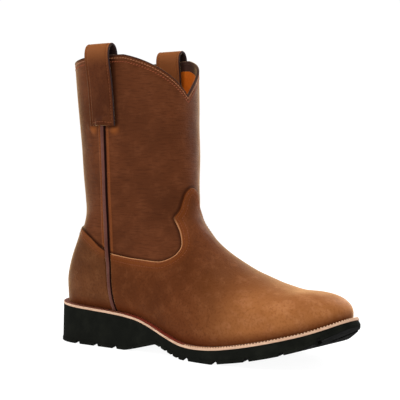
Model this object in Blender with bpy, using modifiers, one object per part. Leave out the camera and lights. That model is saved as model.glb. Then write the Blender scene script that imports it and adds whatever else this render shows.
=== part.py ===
"""Pull-on leather work boot for the right foot, as an assembly of separate solids.

Lengths in the tables are millimetres and MM turns them into metres. A station is the distance
forward from the back end of the sole. The finished boot stands on Z = 0 with its toe along +X,
its outer side along -Y and the middle of its sole over the origin.
"""

import math
from collections import namedtuple

import bmesh
import bpy
import numpy as np
from mathutils import Matrix

MM = 0.001
OBJECT_NAME = "work_boot"

# Overall sizes
SOLE_LENGTH = 305.0
WELT_PROUD = 5.0
WELT_THICKNESS = 2.6
WELT_WIDTH = 12.0
WALL = 2.2
GAP = 0.3
MIDLINE_SHIFT = -0.38

# Insole
INSOLE_CLEARANCE = 1.6
INSOLE_THICKNESS = 4.0

# Overlays and seams, measured out from the face of the upper
OVERLAY_THICKNESS = 1.5
UPPER_INSET = WELT_PROUD + GAP + OVERLAY_THICKNESS
SEAM_HEIGHT = 2.2
SEAM_STATION = 82.1
SEAM_HALF_WIDTH = 2.5

# Collar: heights over the floor at the sides, the back and the bottom of the front dip
COLLAR_SIDE = 263.5
COLLAR_BACK = 258.0
COLLAR_DIP = 228.0
COLLAR_DIP_POWER = 0.78
COLLAR_DIP_HALF_WIDTH = 46.0
COLLAR_DIP_ROUNDING = 1.5

# Pull straps, which lean back by the lean for each millimetre of height
STRAP_WIDTH = 28.5
STRAP_THICKNESS = 2.2
STRAP_CLEARANCE = 0.6
STRAP_LEAN = 0.036
STRAP_END = 201.0
STRAP_TOP_CONFORM = 0.35

# Outsole edge and tread
SOLE_FLARE = 1.2
RIB_HEIGHT = 3.2
RIB_STEP = 0.5
GROOVE_WIDTH = 4.0
GROOVE_DEPTH = 2.6
GROOVE_CENTRE_BAND = 9.0

# Mesh resolution
SOLE_STEPS = 30
DOME_ROWS = 6
ROW_STEPS = 3
HEEL_ROWS = 6
SHAFT_ROWS = 12
HALF_COLUMNS = 13
CUT_STEPS = 4
STRAP_STEPS = 26
STRAP_COLUMNS = 4

PlanRow = namedtuple("PlanRow", "station centre half_width")
PLAN = (
    PlanRow(0.0, 0.0, 37.0),
    PlanRow(40.0, 0.0, 38.5),
    PlanRow(80.0, -1.5, 37.5),
    PlanRow(115.0, -2.5, 37.5),
    PlanRow(150.0, -2.0, 42.8),
    PlanRow(185.0, -0.5, 50.8),
    PlanRow(215.0, 1.6, 54.0),
    PlanRow(245.0, 3.8, 53.5),
    PlanRow(275.0, 6.8, 49.3),
    PlanRow(305.0, 9.6, 43.5),
)
CapSize = namedtuple("CapSize", "run power")
HEEL_CAP = CapSize(38.0, 2.15)
TOE_CAP = CapSize(76.0, 2.2)

# Side of the outsole: a negative bottom is cut off by the floor, which leaves a flat spot
SoleRow = namedtuple("SoleRow", "station bottom top")
SOLE = (
    SoleRow(0.0, 0.6, 35.0),
    SoleRow(10.0, -0.4, 34.6),
    SoleRow(45.0, -0.8, 32.4),
    SoleRow(80.0, -0.6, 30.6),
    SoleRow(97.0, -0.1, 29.2),
    SoleRow(112.0, 3.0, 26.9),
    SoleRow(124.0, 6.0, 23.7),
    SoleRow(135.0, 9.0, 20.1),
    SoleRow(146.0, 6.1, 16.3),
    SoleRow(163.0, 1.2, 11.7),
    SoleRow(178.0, -0.8, 10.2),
    SoleRow(198.0, -0.6, 10.8),
    SoleRow(215.0, 1.6, 12.8),
    SoleRow(245.0, 6.9, 18.5),
    SoleRow(275.0, 14.8, 26.1),
    SoleRow(290.0, 23.0, 31.3),
    SoleRow(305.0, 32.6, 38.2),
)

# Sections of the upper, from the toe to the top of the shaft. The front point lies on the
# ridge line. The run is the bottom point's distance forward from the heel along the sole, or,
# if negative, its height up the back line.
UpperRow = namedtuple(
    "UpperRow", "front_x front_z run lateral medial widest front_power back_power"
)
UPPER = (
    UpperRow(298.2, 62.2, 291.4, 41.2, 41.2, 0.32, 2.3, 2.0),
    UpperRow(256.0, 59.2, 249.2, 46.7, 46.2, 0.32, 2.2, 2.0),
    UpperRow(220.0, 67.6, 210.2, 48.2, 47.7, 0.32, 2.1, 2.0),
    UpperRow(187.3, 83.4, 166.2, 45.7, 44.7, 0.34, 2.0, 2.0),
    UpperRow(164.9, 99.0, 116.2, 41.9, 39.9, 0.38, 2.0, 2.0),
    UpperRow(151.2, 113.2, 70.2, 41.5, 40.5, 0.42, 2.0, 2.0),
    UpperRow(144.6, 128.0, 33.0, 43.0, 42.5, 0.46, 2.1, 2.1),
    UpperRow(143.5, 146.0, 0.0, 45.0, 45.0, 0.50, 2.1, 2.1),
    UpperRow(142.5, 167.0, -42.0, 46.5, 46.5, 0.50, 2.1, 2.1),
    UpperRow(141.0, 192.0, -94.0, 48.0, 48.0, 0.50, 2.1, 2.1),
    UpperRow(139.8, 220.0, -150.0, 50.0, 50.0, 0.50, 2.1, 2.1),
    UpperRow(138.8, 249.0, -202.0, 51.5, 51.5, 0.50, 2.1, 2.1),
    UpperRow(138.4, 275.0, -237.0, 52.0, 52.0, 0.50, 2.1, 2.1),
)
TOE_HEIGHT_POWER = 2.4
# The section that meets the sole's back end, where the rows crowd to round the heel
HEEL_SECTION = 7
SOLE_ROWS = DOME_ROWS + (HEEL_SECTION - 2) * ROW_STEPS + HEEL_ROWS

BackRow = namedtuple("BackRow", "height station")
BACK = (
    BackRow(38.0, 6.8),
    BackRow(52.0, 6.8),
    BackRow(68.0, 11.8),
    BackRow(88.0, 21.8),
    BackRow(109.0, 30.4),
    BackRow(130.0, 30.6),
    BackRow(151.0, 28.6),
    BackRow(187.0, 26.2),
    BackRow(229.0, 22.0),
    BackRow(280.0, 17.6),
)

# Edge of the vamp, seen along the diagonal between front and side: the sight is the station
# less the distance out from the ridge line's plane. The first line runs from the side seam to
# the point beside the throat, the second from there up the tongue to the ridge line.
RIDGE_Y = -0.7
SightPoint = namedtuple("SightPoint", "sight height")
VAMP_EDGE = (
    SightPoint(39.7, 87.4),
    SightPoint(52.5, 85.0),
    SightPoint(71.0, 82.7),
    SightPoint(95.3, 81.2),
    SightPoint(106.6, 82.8),
    SightPoint(118.0, 87.3),
    SightPoint(125.0, 92.8),
    SightPoint(127.1, 97.6),
    SightPoint(126.0, 106.0),
    SightPoint(123.2, 113.0),
    SightPoint(119.4, 119.6),
)
TONGUE_EDGE = (
    SightPoint(119.4, 119.6),
    SightPoint(127.1, 126.4),
    SightPoint(130.5, 133.8),
    SightPoint(134.3, 141.0),
    SightPoint(140.0, 145.0),
    SightPoint(143.6, 145.8),
)
# Top edge of the heel counter from the back to the side seam, seen from the side
SidePoint = namedtuple("SidePoint", "station height")
COUNTER_EDGE = (
    SidePoint(-20.0, 111.0),
    SidePoint(25.0, 110.6),
    SidePoint(42.0, 108.6),
    SidePoint(54.7, 105.0),
    SidePoint(64.6, 99.6),
    SidePoint(72.0, 94.4),
    SidePoint(SEAM_STATION - SEAM_HALF_WIDTH - GAP, 89.8),
)

# Centre line of a pull strap: distance out from the face of the shaft, and height
StrapPoint = namedtuple("StrapPoint", "out height")
STRAP_OUTSIDE = STRAP_CLEARANCE + STRAP_THICKNESS / 2
STRAP_INSIDE = -WALL - STRAP_CLEARANCE - STRAP_THICKNESS / 2
STRAP_PATH = (
    StrapPoint(STRAP_OUTSIDE, STRAP_END),
    StrapPoint(STRAP_OUTSIDE, 222.0),
    StrapPoint(2.2, 240.0),
    StrapPoint(3.9, 256.0),
    StrapPoint(4.4, 265.0),
    StrapPoint(2.6, 271.0),
    StrapPoint(-1.2, 273.4),
    StrapPoint(-5.0, 271.0),
    StrapPoint(-6.8, 265.0),
    StrapPoint(-6.2, 256.0),
    StrapPoint(-4.6, 240.0),
    StrapPoint(STRAP_INSIDE, 222.0),
    StrapPoint(STRAP_INSIDE, STRAP_END + 6.0),
)

# Tread grooves: stations across the heel and the forefoot, and how each slants forward going out
HEEL_GROOVES = (39.6, 62.5, 85.6)
FOREFOOT_GROOVES = (171.1, 202.1, 233.6, 265.6, 298.0)
GROOVE_SLANT = math.radians(25.0)


def clear_scene():
    """Remove every object that the scene starts with."""
    for item in list(bpy.data.objects):
        bpy.data.objects.remove(item, do_unlink=True)


def column(table, name):
    """One named column of a table, as an array."""
    return np.array([getattr(row, name) for row in table], dtype=float)


def smooth(knots, values, at):
    """Cubic curve through a column of values, with slopes taken from each knot's neighbours."""
    knots = np.asarray(knots, dtype=float)
    values = np.asarray(values, dtype=float)
    at = np.asarray(at, dtype=float)
    slopes = np.empty_like(values)
    slopes[1:-1] = (values[2:] - values[:-2]) / (knots[2:] - knots[:-2])
    slopes[0] = (values[1] - values[0]) / (knots[1] - knots[0])
    slopes[-1] = (values[-1] - values[-2]) / (knots[-1] - knots[-2])
    i = np.clip(np.searchsorted(knots, at, side="right") - 1, 0, len(knots) - 2)
    step = knots[i + 1] - knots[i]
    t = np.clip((at - knots[i]) / step, 0.0, 1.0)
    return (
        values[i] * (1 + 2 * t) * (1 - t) ** 2
        + slopes[i] * step * t * (1 - t) ** 2
        + values[i + 1] * t * t * (3 - 2 * t)
        + slopes[i + 1] * step * t * t * (t - 1)
    )


def smooth_line(points, steps):
    """Points along a smooth line through a short table of two-column rows."""
    rows = np.array(points, dtype=float)
    knots = np.arange(len(rows))
    at = np.linspace(0, len(rows) - 1, (len(rows) - 1) * steps + 1)
    return [tuple(smooth(knots, rows[:, k], at)[i] for k in (0, 1)) for i in range(len(at))]


def round_end(distance, cap):
    """Share of the full width at a distance from a rounded end of the outline."""
    d = np.clip(1 - distance / cap.run, 0.0, 1.0)
    return (1 - d ** cap.power) ** (1 / cap.power)


def plan_edges(station, inset):
    """Outer and inner edge of the sole's outline, moved in by the inset."""
    low = inset
    high = SOLE_LENGTH - inset
    s = np.clip(station, low, high)
    knots = column(PLAN, "station")
    centre = smooth(knots, column(PLAN, "centre"), s)
    half = smooth(knots, column(PLAN, "half_width"), s) - inset
    half = half * round_end(s - low, CapSize(HEEL_CAP.run - inset, HEEL_CAP.power))
    half = half * round_end(high - s, CapSize(TOE_CAP.run - inset, TOE_CAP.power))
    return centre - half, centre + half


def sole_bottom(station):
    """Height of the outsole's underside, flat where it meets the floor."""
    return np.maximum(smooth(column(SOLE, "station"), column(SOLE, "bottom"), station), 0.0)


def sole_top(station):
    """Height of the outsole's top face."""
    return smooth(column(SOLE, "station"), column(SOLE, "top"), station)


def feather(station):
    """Height of the upper's bottom edge, which sits on the welt."""
    return sole_top(station) + GAP + WELT_THICKNESS + GAP


def placed(points):
    """Millimetre points in station coordinates as metres in the part's frame."""
    moved = np.asarray(points, dtype=float) + (-SOLE_LENGTH / 2, MIDLINE_SHIFT, 0.0)
    return moved * MM


def upper_points(u, t, side, grow):
    """Points of the upper's face, moved out by grow.

    u counts the sections from the toe, t runs from the ridge line (0) to the bottom or back
    line (1), and side is -1 for the outer half and 1 for the inner half.
    """
    knots = np.arange(len(UPPER))
    row = {name: smooth(knots, column(UPPER, name), u) for name in UpperRow._fields}
    front_x = row["front_x"] + grow * np.clip(1 - u, 0.0, 1.0)
    run = row["run"]
    on_sole = run >= 0
    sole_x = UPPER_INSET + run + grow * (2 * run / UPPER[0].run - 1)

    heel_height = float(feather(UPPER_INSET))
    back_z = heel_height - np.minimum(run, 0.0)
    back_x = smooth(column(BACK, "height"), column(BACK, "station"), back_z) - grow
    bottom_x = np.where(on_sole, sole_x, back_x)
    bottom_z = np.where(on_sole, feather(bottom_x), back_z)

    # The ridge point moves out square to the ridge line
    ahead = 0.05
    rise = smooth(knots, column(UPPER, "front_z"), u + ahead)
    rise = rise - smooth(knots, column(UPPER, "front_z"), u - ahead)
    reach = smooth(knots, column(UPPER, "front_x"), u + ahead)
    reach = reach - smooth(knots, column(UPPER, "front_x"), u - ahead)
    length = np.hypot(rise, reach)
    dome_start = UPPER[1].front_x
    dome = np.clip((front_x - dome_start) / (UPPER[0].front_x + grow - dome_start), 0.0, 1.0)
    height_share = (1 - dome ** TOE_HEIGHT_POWER) ** (1 / TOE_HEIGHT_POWER)
    in_dome = u < 1
    ridge_x = np.where(in_dome, front_x, front_x + grow * rise / length)
    ridge_z = np.where(
        in_dome,
        bottom_z + (row["front_z"] + grow - bottom_z) * height_share,
        row["front_z"] - grow * reach / length,
    )

    # Half width at the bottom line and at the widest line
    outer, inner = plan_edges(bottom_x, UPPER_INSET - grow)
    centre = (outer + inner) / 2
    low_width = np.where(on_sole, (inner - outer) / 2, 0.0)
    first = UPPER[1]
    first_outer, first_inner = plan_edges(UPPER_INSET + first.run, UPPER_INSET)
    first_full = first.lateral if side < 0 else first.medial
    swell = 2 * first_full / (first_inner - first_outer)
    full_width = (row["lateral"] if side < 0 else row["medial"]) + grow
    full_width = np.where(in_dome, low_width * swell, full_width)
    full_width = np.maximum(full_width, 1e-6)

    # Each half section is two quarter ovals that meet at the widest line
    back_power = row["back_power"]
    front_power = row["front_power"]
    cut = (1 - np.clip(low_width / full_width, 0.0, 1.0) ** back_power) ** (1 / back_power)
    cut = np.maximum(cut, 0.05)
    last_angle = np.arcsin(np.clip(cut ** (back_power / 2), 0.0, 1.0))
    angle = t * (math.pi / 2 + last_angle)
    front_angle = np.clip(angle, 0.0, math.pi / 2)
    back_angle = np.clip(angle - math.pi / 2, 0.0, math.pi / 2)
    in_front = angle <= math.pi / 2
    widest = row["widest"]
    level = np.where(
        in_front,
        widest + (1 - widest) * np.clip(np.cos(front_angle), 0, 1) ** (2 / front_power),
        widest - widest / cut * np.sin(back_angle) ** (2 / back_power),
    )
    width = np.where(
        in_front,
        full_width * np.sin(front_angle) ** (2 / front_power),
        full_width * np.clip(np.cos(back_angle), 0, 1) ** (2 / back_power),
    )
    x = bottom_x + (ridge_x - bottom_x) * level
    z = bottom_z + (ridge_z - bottom_z) * level
    y = centre + side * width
    return np.stack([x, y, z], axis=-1)


def collar_height(points):
    """Height of the collar's edge over each point of the shaft."""
    x = points[..., 0]
    y = np.abs(points[..., 1])
    soft = np.sqrt(y ** 2 + COLLAR_DIP_ROUNDING ** 2) - COLLAR_DIP_ROUNDING
    rise = np.clip(soft / COLLAR_DIP_HALF_WIDTH, 0.0, 1.0) ** COLLAR_DIP_POWER
    front = COLLAR_DIP + (COLLAR_SIDE - COLLAR_DIP) * rise
    behind = np.clip((SEAM_STATION - x) / SEAM_STATION * 1.4, 0.0, 1.0)
    back = COLLAR_SIDE - (COLLAR_SIDE - COLLAR_BACK) * behind ** 2
    return np.where(x > SEAM_STATION, front, back)


def collar_section(t, side):
    """Section number at which each column of the shaft reaches the collar's edge."""
    fine = np.linspace(HEEL_SECTION, len(UPPER) - 1, 121)
    u, tt = np.meshgrid(fine, t, indexing="ij")
    points = upper_points(u, tt, side, 0.0)
    over = points[..., 2] - collar_height(points)
    return np.array([np.interp(0.0, over[:, j], fine) for j in range(len(t))])


def upper_half(side, grow):
    """Grid of points on one half of the upper, toe to collar by ridge to bottom line."""
    t = np.linspace(0.0, 1.0, HALF_COLUMNS + 1)
    dome = 1 - np.cos(np.linspace(0, math.pi / 2, DOME_ROWS + 1))
    foot = np.linspace(1.0, HEEL_SECTION - 1, (HEEL_SECTION - 2) * ROW_STEPS + 1)[1:]
    heel = HEEL_SECTION - 1 + np.sin(np.linspace(0, math.pi / 2, HEEL_ROWS + 1))[1:]
    low = np.concatenate([dome, foot, heel])
    u_low = np.repeat(low[:, None], len(t), axis=1)
    top = collar_section(t, side)
    share = np.linspace(0.0, 1.0, SHAFT_ROWS + 1)[1:, None]
    u_high = HEEL_SECTION + (top[None, :] - HEEL_SECTION) * share
    u = np.concatenate([u_low, u_high])
    return upper_points(u, np.repeat(t[None, :], len(u), axis=0), side, grow)


def upper_grid(grow):
    """Grid of points on the whole upper, from the outer bottom line over to the inner one."""
    outer = upper_half(-1, grow)
    inner = upper_half(1, grow)
    return np.concatenate([outer[:, ::-1], inner[:, 1:]], axis=1)


def shaft_slice(height, side):
    """Level cut through the shaft's face: stations in rising order, and their half widths."""
    t = np.linspace(0.0, 1.0, 61)
    fine = np.linspace(4.0, len(UPPER) - 1, 161)
    u, tt = np.meshgrid(fine, t, indexing="ij")
    points = upper_points(u, tt, side, 0.0)
    x = [np.interp(height, points[:, j, 2], points[:, j, 0]) for j in range(len(t))]
    y = [np.interp(height, points[:, j, 2], points[:, j, 1]) for j in range(len(t))]
    return np.array(x)[::-1], np.array(y)[::-1]


def new_object(name, bm, collection):
    """A mesh object from a bmesh, in a collection."""
    mesh = bpy.data.meshes.new(name)
    bm.to_mesh(mesh)
    bm.free()
    item = bpy.data.objects.new(name, mesh)
    collection.objects.link(item)
    return item


def finish_mesh(bm):
    """Weld the points that meet and turn every face outward."""
    bmesh.ops.remove_doubles(bm, verts=bm.verts, dist=1e-6)
    bmesh.ops.recalc_face_normals(bm, faces=bm.faces)


def sheet_faces(bm, grid, flip=False):
    """Triangles over a grid of points, split alike on both halves. Returns the vertices."""
    rows = [[bm.verts.new(p) for p in line] for line in placed(grid)]
    middle = (len(rows[0]) - 1) / 2
    for low, high in zip(rows, rows[1:]):
        for j in range(len(low) - 1):
            a, b, c, d = low[j], low[j + 1], high[j + 1], high[j]
            halves = ((a, b, c), (a, c, d)) if j < middle else ((a, b, d), (b, c, d))
            for corners in halves:
                bm.faces.new(corners[::-1] if flip else corners)
    return rows


def shell_between(name, inside, outside, collection):
    """Closed wall between two forms of the upper, open at the collar and underneath."""
    bm = bmesh.new()
    face = sheet_faces(bm, upper_grid(outside))
    back = sheet_faces(bm, upper_grid(inside), flip=True)
    for i in range(SOLE_ROWS):
        for j in (0, -1):
            bm.faces.new((face[i][j], face[i + 1][j], back[i + 1][j], back[i][j]))
    for j in range(len(face[-1]) - 1):
        bm.faces.new((face[-1][j], face[-1][j + 1], back[-1][j + 1], back[-1][j]))
    finish_mesh(bm)
    return new_object(name, bm, collection)


def outline_ring(bm, inset, height, lift):
    """Vertices round the sole's outline, at a height over the floor that varies by station."""
    s = inset + (SOLE_LENGTH - 2 * inset) * (1 - np.cos(np.linspace(0, math.pi, SOLE_STEPS + 1))) / 2
    outer, inner = plan_edges(s, inset)
    z = height(np.clip(s, 0.0, SOLE_LENGTH)) + lift
    outer_side = np.stack([s, outer, z], axis=-1)
    inner_side = np.stack([s, inner, z], axis=-1)[1:-1][::-1]
    return [bm.verts.new(p) for p in placed(np.concatenate([outer_side, inner_side]))]


def bridge(bm, low, high):
    """Quads between two rings."""
    count = len(low)
    for i in range(count):
        k = (i + 1) % count
        bm.faces.new((low[i], low[k], high[k], high[i]))


def cap_ring(bm, ring):
    """Strips across a ring, from its outer to its inner side."""
    count = len(ring)
    half = count // 2
    bm.faces.new((ring[0], ring[1], ring[-1]))
    for i in range(1, half - 1):
        bm.faces.new((ring[i], ring[i + 1], ring[count - i - 1], ring[count - i]))
    bm.faces.new((ring[half - 1], ring[half], ring[half + 1]))


def plate(name, rings, collection):
    """Closed body through rings given as (inset, height function, lift), bottom to top."""
    bm = bmesh.new()
    loops = [outline_ring(bm, *ring) for ring in rings]
    for low, high in zip(loops, loops[1:]):
        bridge(bm, low, high)
    cap_ring(bm, loops[0])
    cap_ring(bm, loops[-1])
    finish_mesh(bm)
    return new_object(name, bm, collection)


def prism(name, outline, span, collection, lean=0.0):
    """Closed cutter: an outline of station and height, pushed from one Y to another.

    A lean of 1 or -1 slides the outline forward by 1 mm for each 1 mm it moves along +Y or -Y
    from the ridge line's plane.
    """
    bm = bmesh.new()
    ends = []
    for y in span:
        slide = lean * (y - RIDGE_Y)
        ends.append([bm.verts.new(p) for p in placed([(a + slide, y, b) for a, b in outline])])
        bm.faces.new(ends[-1])
    bridge(bm, *ends)
    bmesh.ops.recalc_face_normals(bm, faces=bm.faces)
    item = new_object(name, bm, collection)
    item.hide_render = True
    item.display_type = "WIRE"
    return item


def cut(item, cutter, operation):
    """Boolean of an object with a cutter."""
    step = item.modifiers.new(cutter.name, "BOOLEAN")
    step.operation = operation
    step.solver = "EXACT"
    step.object = cutter


def material(name, colour, roughness):
    """Principled material with a plain finish."""
    made = bpy.data.materials.new(name)
    made.use_nodes = True
    shader = made.node_tree.nodes["Principled BSDF"]
    shader.inputs["Base Color"].default_value = (*colour, 1.0)
    shader.inputs["Roughness"].default_value = roughness
    shader.inputs["Metallic"].default_value = 0.0
    made.diffuse_color = (*colour, 1.0)
    return made


def dress(item, finish):
    """Give an object its material and smooth shading with crisp edges."""
    item.data.materials.append(finish)
    item.data.shade_smooth()
    item.data.set_sharp_from_angle(angle=math.radians(40.0))


def make_groove_cutter(collection):
    """Slanted bars that cut the tread grooves in from both edges of the outsole."""
    bm = bmesh.new()
    reach = 60.0
    for station in HEEL_GROOVES + FOREFOOT_GROOVES:
        ahead = sole_bottom(np.array([station - 4.0, station + 4.0]))
        pitch = math.atan2(ahead[1] - ahead[0], 8.0)
        base = float(sole_bottom(np.array([station]))[0])
        for side in (-1, 1):
            middle = placed([[station, side * (GROOVE_CENTRE_BAND + reach / 2), base]])[0]
            turn = Matrix.Rotation(-pitch, 4, "Y") @ Matrix.Rotation(-side * GROOVE_SLANT, 4, "Z")
            size = Matrix.Diagonal((GROOVE_WIDTH * MM, reach * MM, 2 * GROOVE_DEPTH * MM, 1.0))
            bmesh.ops.create_cube(bm, size=1.0, matrix=Matrix.Translation(middle) @ turn @ size)
    item = new_object("groove_cutter", bm, collection)
    item.hide_render = True
    item.display_type = "WIRE"
    return item


def make_outsole(parts, cutters, finish):
    """One rubber unit: forefoot, arch and heel, with a ribbed edge and grooved tread."""
    item = plate(
        "outsole",
        (
            (-SOLE_FLARE, sole_bottom, 0.0),
            (-SOLE_FLARE, sole_bottom, RIB_HEIGHT),
            (-SOLE_FLARE + RIB_STEP, sole_bottom, RIB_HEIGHT + RIB_STEP),
            (0.0, sole_top, 0.0),
        ),
        parts,
    )
    cut(item, make_groove_cutter(cutters), "DIFFERENCE")
    dress(item, finish)


def make_welt(parts, finish):
    """Flat strip between outsole and upper, all the way round."""
    bm = bmesh.new()
    low_out = outline_ring(bm, 0.0, sole_top, GAP)
    high_out = outline_ring(bm, 0.0, sole_top, GAP + WELT_THICKNESS)
    high_in = outline_ring(bm, WELT_WIDTH, sole_top, GAP + WELT_THICKNESS)
    low_in = outline_ring(bm, WELT_WIDTH, sole_top, GAP)
    for low, high in ((low_out, high_out), (high_out, high_in), (high_in, low_in), (low_in, low_out)):
        bridge(bm, low, high)
    finish_mesh(bm)
    dress(new_object("welt", bm, parts), finish)


def make_insole(parts, finish):
    """Footbed inside the upper, with a step that fills the welt's ring."""
    rim = UPPER_INSET + WALL + INSOLE_CLEARANCE
    core = WELT_WIDTH + GAP
    seat = GAP + WELT_THICKNESS + GAP
    item = plate(
        "insole",
        (
            (core, sole_top, GAP),
            (core, sole_top, seat),
            (rim, sole_top, seat),
            (rim, sole_top, seat + INSOLE_THICKNESS),
        ),
        parts,
    )
    dress(item, finish)


def make_upper(parts, finish):
    """Foot and shaft in one hollow wall."""
    dress(shell_between("upper", -WALL, 0.0, parts), finish)


def make_vamp(parts, cutters, finish):
    """Overlay from the side seams round the toe, with a tongue up the shin."""
    item = shell_between("vamp", GAP, GAP + OVERLAY_THICKNESS, parts)
    seam = SEAM_STATION + SEAM_HALF_WIDTH + GAP
    behind = [(-60.0, -40.0), (seam, -40.0), (seam, 320.0), (-60.0, 320.0)]
    cut(item, prism("vamp_back_cutter", behind, (-90.0, 90.0), cutters), "DIFFERENCE")
    edge = smooth_line(VAMP_EDGE, CUT_STEPS) + smooth_line(TONGUE_EDGE, CUT_STEPS)[1:]
    above = [(-120.0, edge[0][1]), *edge, (220.0, edge[-1][1]), (220.0, 320.0), (-120.0, 320.0)]
    for name, side in (("vamp_outer_cutter", -1), ("vamp_inner_cutter", 1)):
        span = (RIDGE_Y - side * 0.5, side * 90.0)
        cut(item, prism(name, above, span, cutters, lean=side), "DIFFERENCE")
    dress(item, finish)


def make_counter(parts, cutters, finish):
    """Overlay round the back of the heel, between the side seams."""
    item = shell_between("counter", GAP, GAP + OVERLAY_THICKNESS, parts)
    edge = smooth_line(COUNTER_EDGE, CUT_STEPS)
    outline = [(edge[0][0], -40.0), *edge, (edge[-1][0], -40.0)]
    cut(item, prism("counter_cutter", outline, (-90.0, 90.0), cutters), "INTERSECT")
    dress(item, finish)


def make_side_seam(name, side, parts, cutters, finish):
    """Raised piping down one side of the shaft, from the strap's end to the welt."""
    item = shell_between(name, GAP, GAP + SEAM_HEIGHT, parts)
    back = SEAM_STATION - SEAM_HALF_WIDTH
    front = SEAM_STATION + SEAM_HALF_WIDTH
    top = STRAP_END - GAP
    outline = [(back, -40.0), (back, top), (front, top), (front, -40.0)]
    span = (-90.0, -10.0) if side < 0 else (10.0, 90.0)
    cut(item, prism(name + "_cutter", outline, span, cutters), "INTERSECT")
    dress(item, finish)


def make_pull_strap(name, side, parts, finish):
    """Leather loop over the collar, with one end down the outside and one down the inside."""
    rows = np.array(STRAP_PATH, dtype=float)
    knots = np.arange(len(rows))
    at = np.linspace(0, len(rows) - 1, STRAP_STEPS + 1)
    out = smooth(knots, rows[:, 0], at)
    height = smooth(knots, rows[:, 1], at)
    reach = np.linspace(-STRAP_WIDTH / 2, STRAP_WIDTH / 2, STRAP_COLUMNS + 1)
    grid = []
    for distance, z in zip(out, height):
        station = SEAM_STATION - STRAP_LEAN * (z - STRAP_END)
        across = station + reach
        stations, halves = shaft_slice(min(z, COLLAR_SIDE), side)
        face = np.abs(np.interp(across, stations, halves))
        middle = abs(np.interp(station, stations, halves))
        lift = np.clip((z - STRAP_PATH[1].height) / (COLLAR_SIDE - STRAP_PATH[1].height), 0.0, 1.0)
        conform = 1 - (1 - STRAP_TOP_CONFORM) * lift
        y = side * (middle + (face - middle) * conform + distance)
        grid.append(np.stack([across, y, np.full_like(across, z)], axis=-1))
    bm = bmesh.new()
    sheet_faces(bm, np.array(grid), flip=side > 0)
    item = new_object(name, bm, parts)
    wall = item.modifiers.new("thickness", "SOLIDIFY")
    wall.thickness = STRAP_THICKNESS * MM
    wall.offset = 0.0
    wall.use_even_offset = True
    dress(item, finish)


def main():
    clear_scene()
    parts = bpy.data.collections.new(OBJECT_NAME)
    cutters = bpy.data.collections.new("cutters")
    for group in (parts, cutters):
        bpy.context.scene.collection.children.link(group)

    rubber = material("outsole_rubber", (0.012, 0.012, 0.011), 0.55)
    welt_leather = material("welt_leather", (0.62, 0.37, 0.24), 0.6)
    footbed = material("insole_leather", (0.38, 0.12, 0.03), 0.7)
    shaft_leather = material("shaft_leather", (0.12, 0.035, 0.014), 0.5)
    vamp_leather = material("vamp_leather", (0.22, 0.08, 0.025), 0.5)
    piping = material("piping_leather", (0.13, 0.06, 0.04), 0.5)

    make_outsole(parts, cutters, rubber)
    make_welt(parts, welt_leather)
    make_insole(parts, footbed)
    make_upper(parts, shaft_leather)
    make_vamp(parts, cutters, vamp_leather)
    make_counter(parts, cutters, shaft_leather)
    make_side_seam("side_seam_outer", -1, parts, cutters, piping)
    make_side_seam("side_seam_inner", 1, parts, cutters, piping)
    make_pull_strap("pull_strap_outer", -1, parts, shaft_leather)
    make_pull_strap("pull_strap_inner", 1, parts, shaft_leather)


main()
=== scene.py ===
# %% [markdown]
# # A pull-on work boot, dressed for its picture
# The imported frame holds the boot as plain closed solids: outsole, welt, insole, upper, vamp,
# heel counter, side seams and pull straps. This lesson replaces them with worked pieces that
# keep the same sizes, and gives every surface a finish made of nodes. The insole hardly shows,
# so its solid stays as it is and only takes a finish.

# %% Load the frame
import math
from collections import namedtuple

import bpy
import numpy as np
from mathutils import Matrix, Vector
from mathutils.kdtree import KDTree


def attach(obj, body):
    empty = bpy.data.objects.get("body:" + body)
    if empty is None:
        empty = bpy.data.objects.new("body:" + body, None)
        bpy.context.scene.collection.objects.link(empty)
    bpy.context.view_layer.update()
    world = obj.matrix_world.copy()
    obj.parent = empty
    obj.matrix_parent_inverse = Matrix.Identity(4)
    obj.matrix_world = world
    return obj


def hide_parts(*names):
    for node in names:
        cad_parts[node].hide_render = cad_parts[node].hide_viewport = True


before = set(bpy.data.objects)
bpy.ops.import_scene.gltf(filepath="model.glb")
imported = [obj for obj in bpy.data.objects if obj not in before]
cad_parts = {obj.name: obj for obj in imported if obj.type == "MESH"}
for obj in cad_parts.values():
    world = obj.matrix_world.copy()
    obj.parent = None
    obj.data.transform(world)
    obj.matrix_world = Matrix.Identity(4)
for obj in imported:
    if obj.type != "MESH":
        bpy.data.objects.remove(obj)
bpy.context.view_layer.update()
print("nodes:", sorted(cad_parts))

# %% [markdown]
# A bootmaker works on a last, a solid foot with named sizes, and so does this lesson. A last
# could be sculpted, or read back from the solids, but a few rows of real sizes are easier to
# check and to change. The tables repeat the sizes of the solids, so each new piece lies where
# its solid does. Lengths are millimetres, and a station is the distance forward from the
# heel's end.

# %% Tables of the sole
SOLE_LENGTH = 305.0
PlanRow = namedtuple("PlanRow", "station centre half_width")
PLAN = (
    PlanRow(0.0, 0.0, 37.0),
    PlanRow(40.0, 0.0, 38.5),
    PlanRow(80.0, -1.5, 37.5),
    PlanRow(115.0, -2.5, 37.5),
    PlanRow(150.0, -2.0, 42.8),
    PlanRow(185.0, -0.5, 50.8),
    PlanRow(215.0, 1.6, 54.0),
    PlanRow(245.0, 3.8, 53.5),
    PlanRow(275.0, 6.8, 49.3),
    PlanRow(305.0, 9.6, 43.5),
)
CapSize = namedtuple("CapSize", "run power")
HEEL_CAP = CapSize(38.0, 2.15)
TOE_CAP = CapSize(76.0, 2.2)

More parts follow.
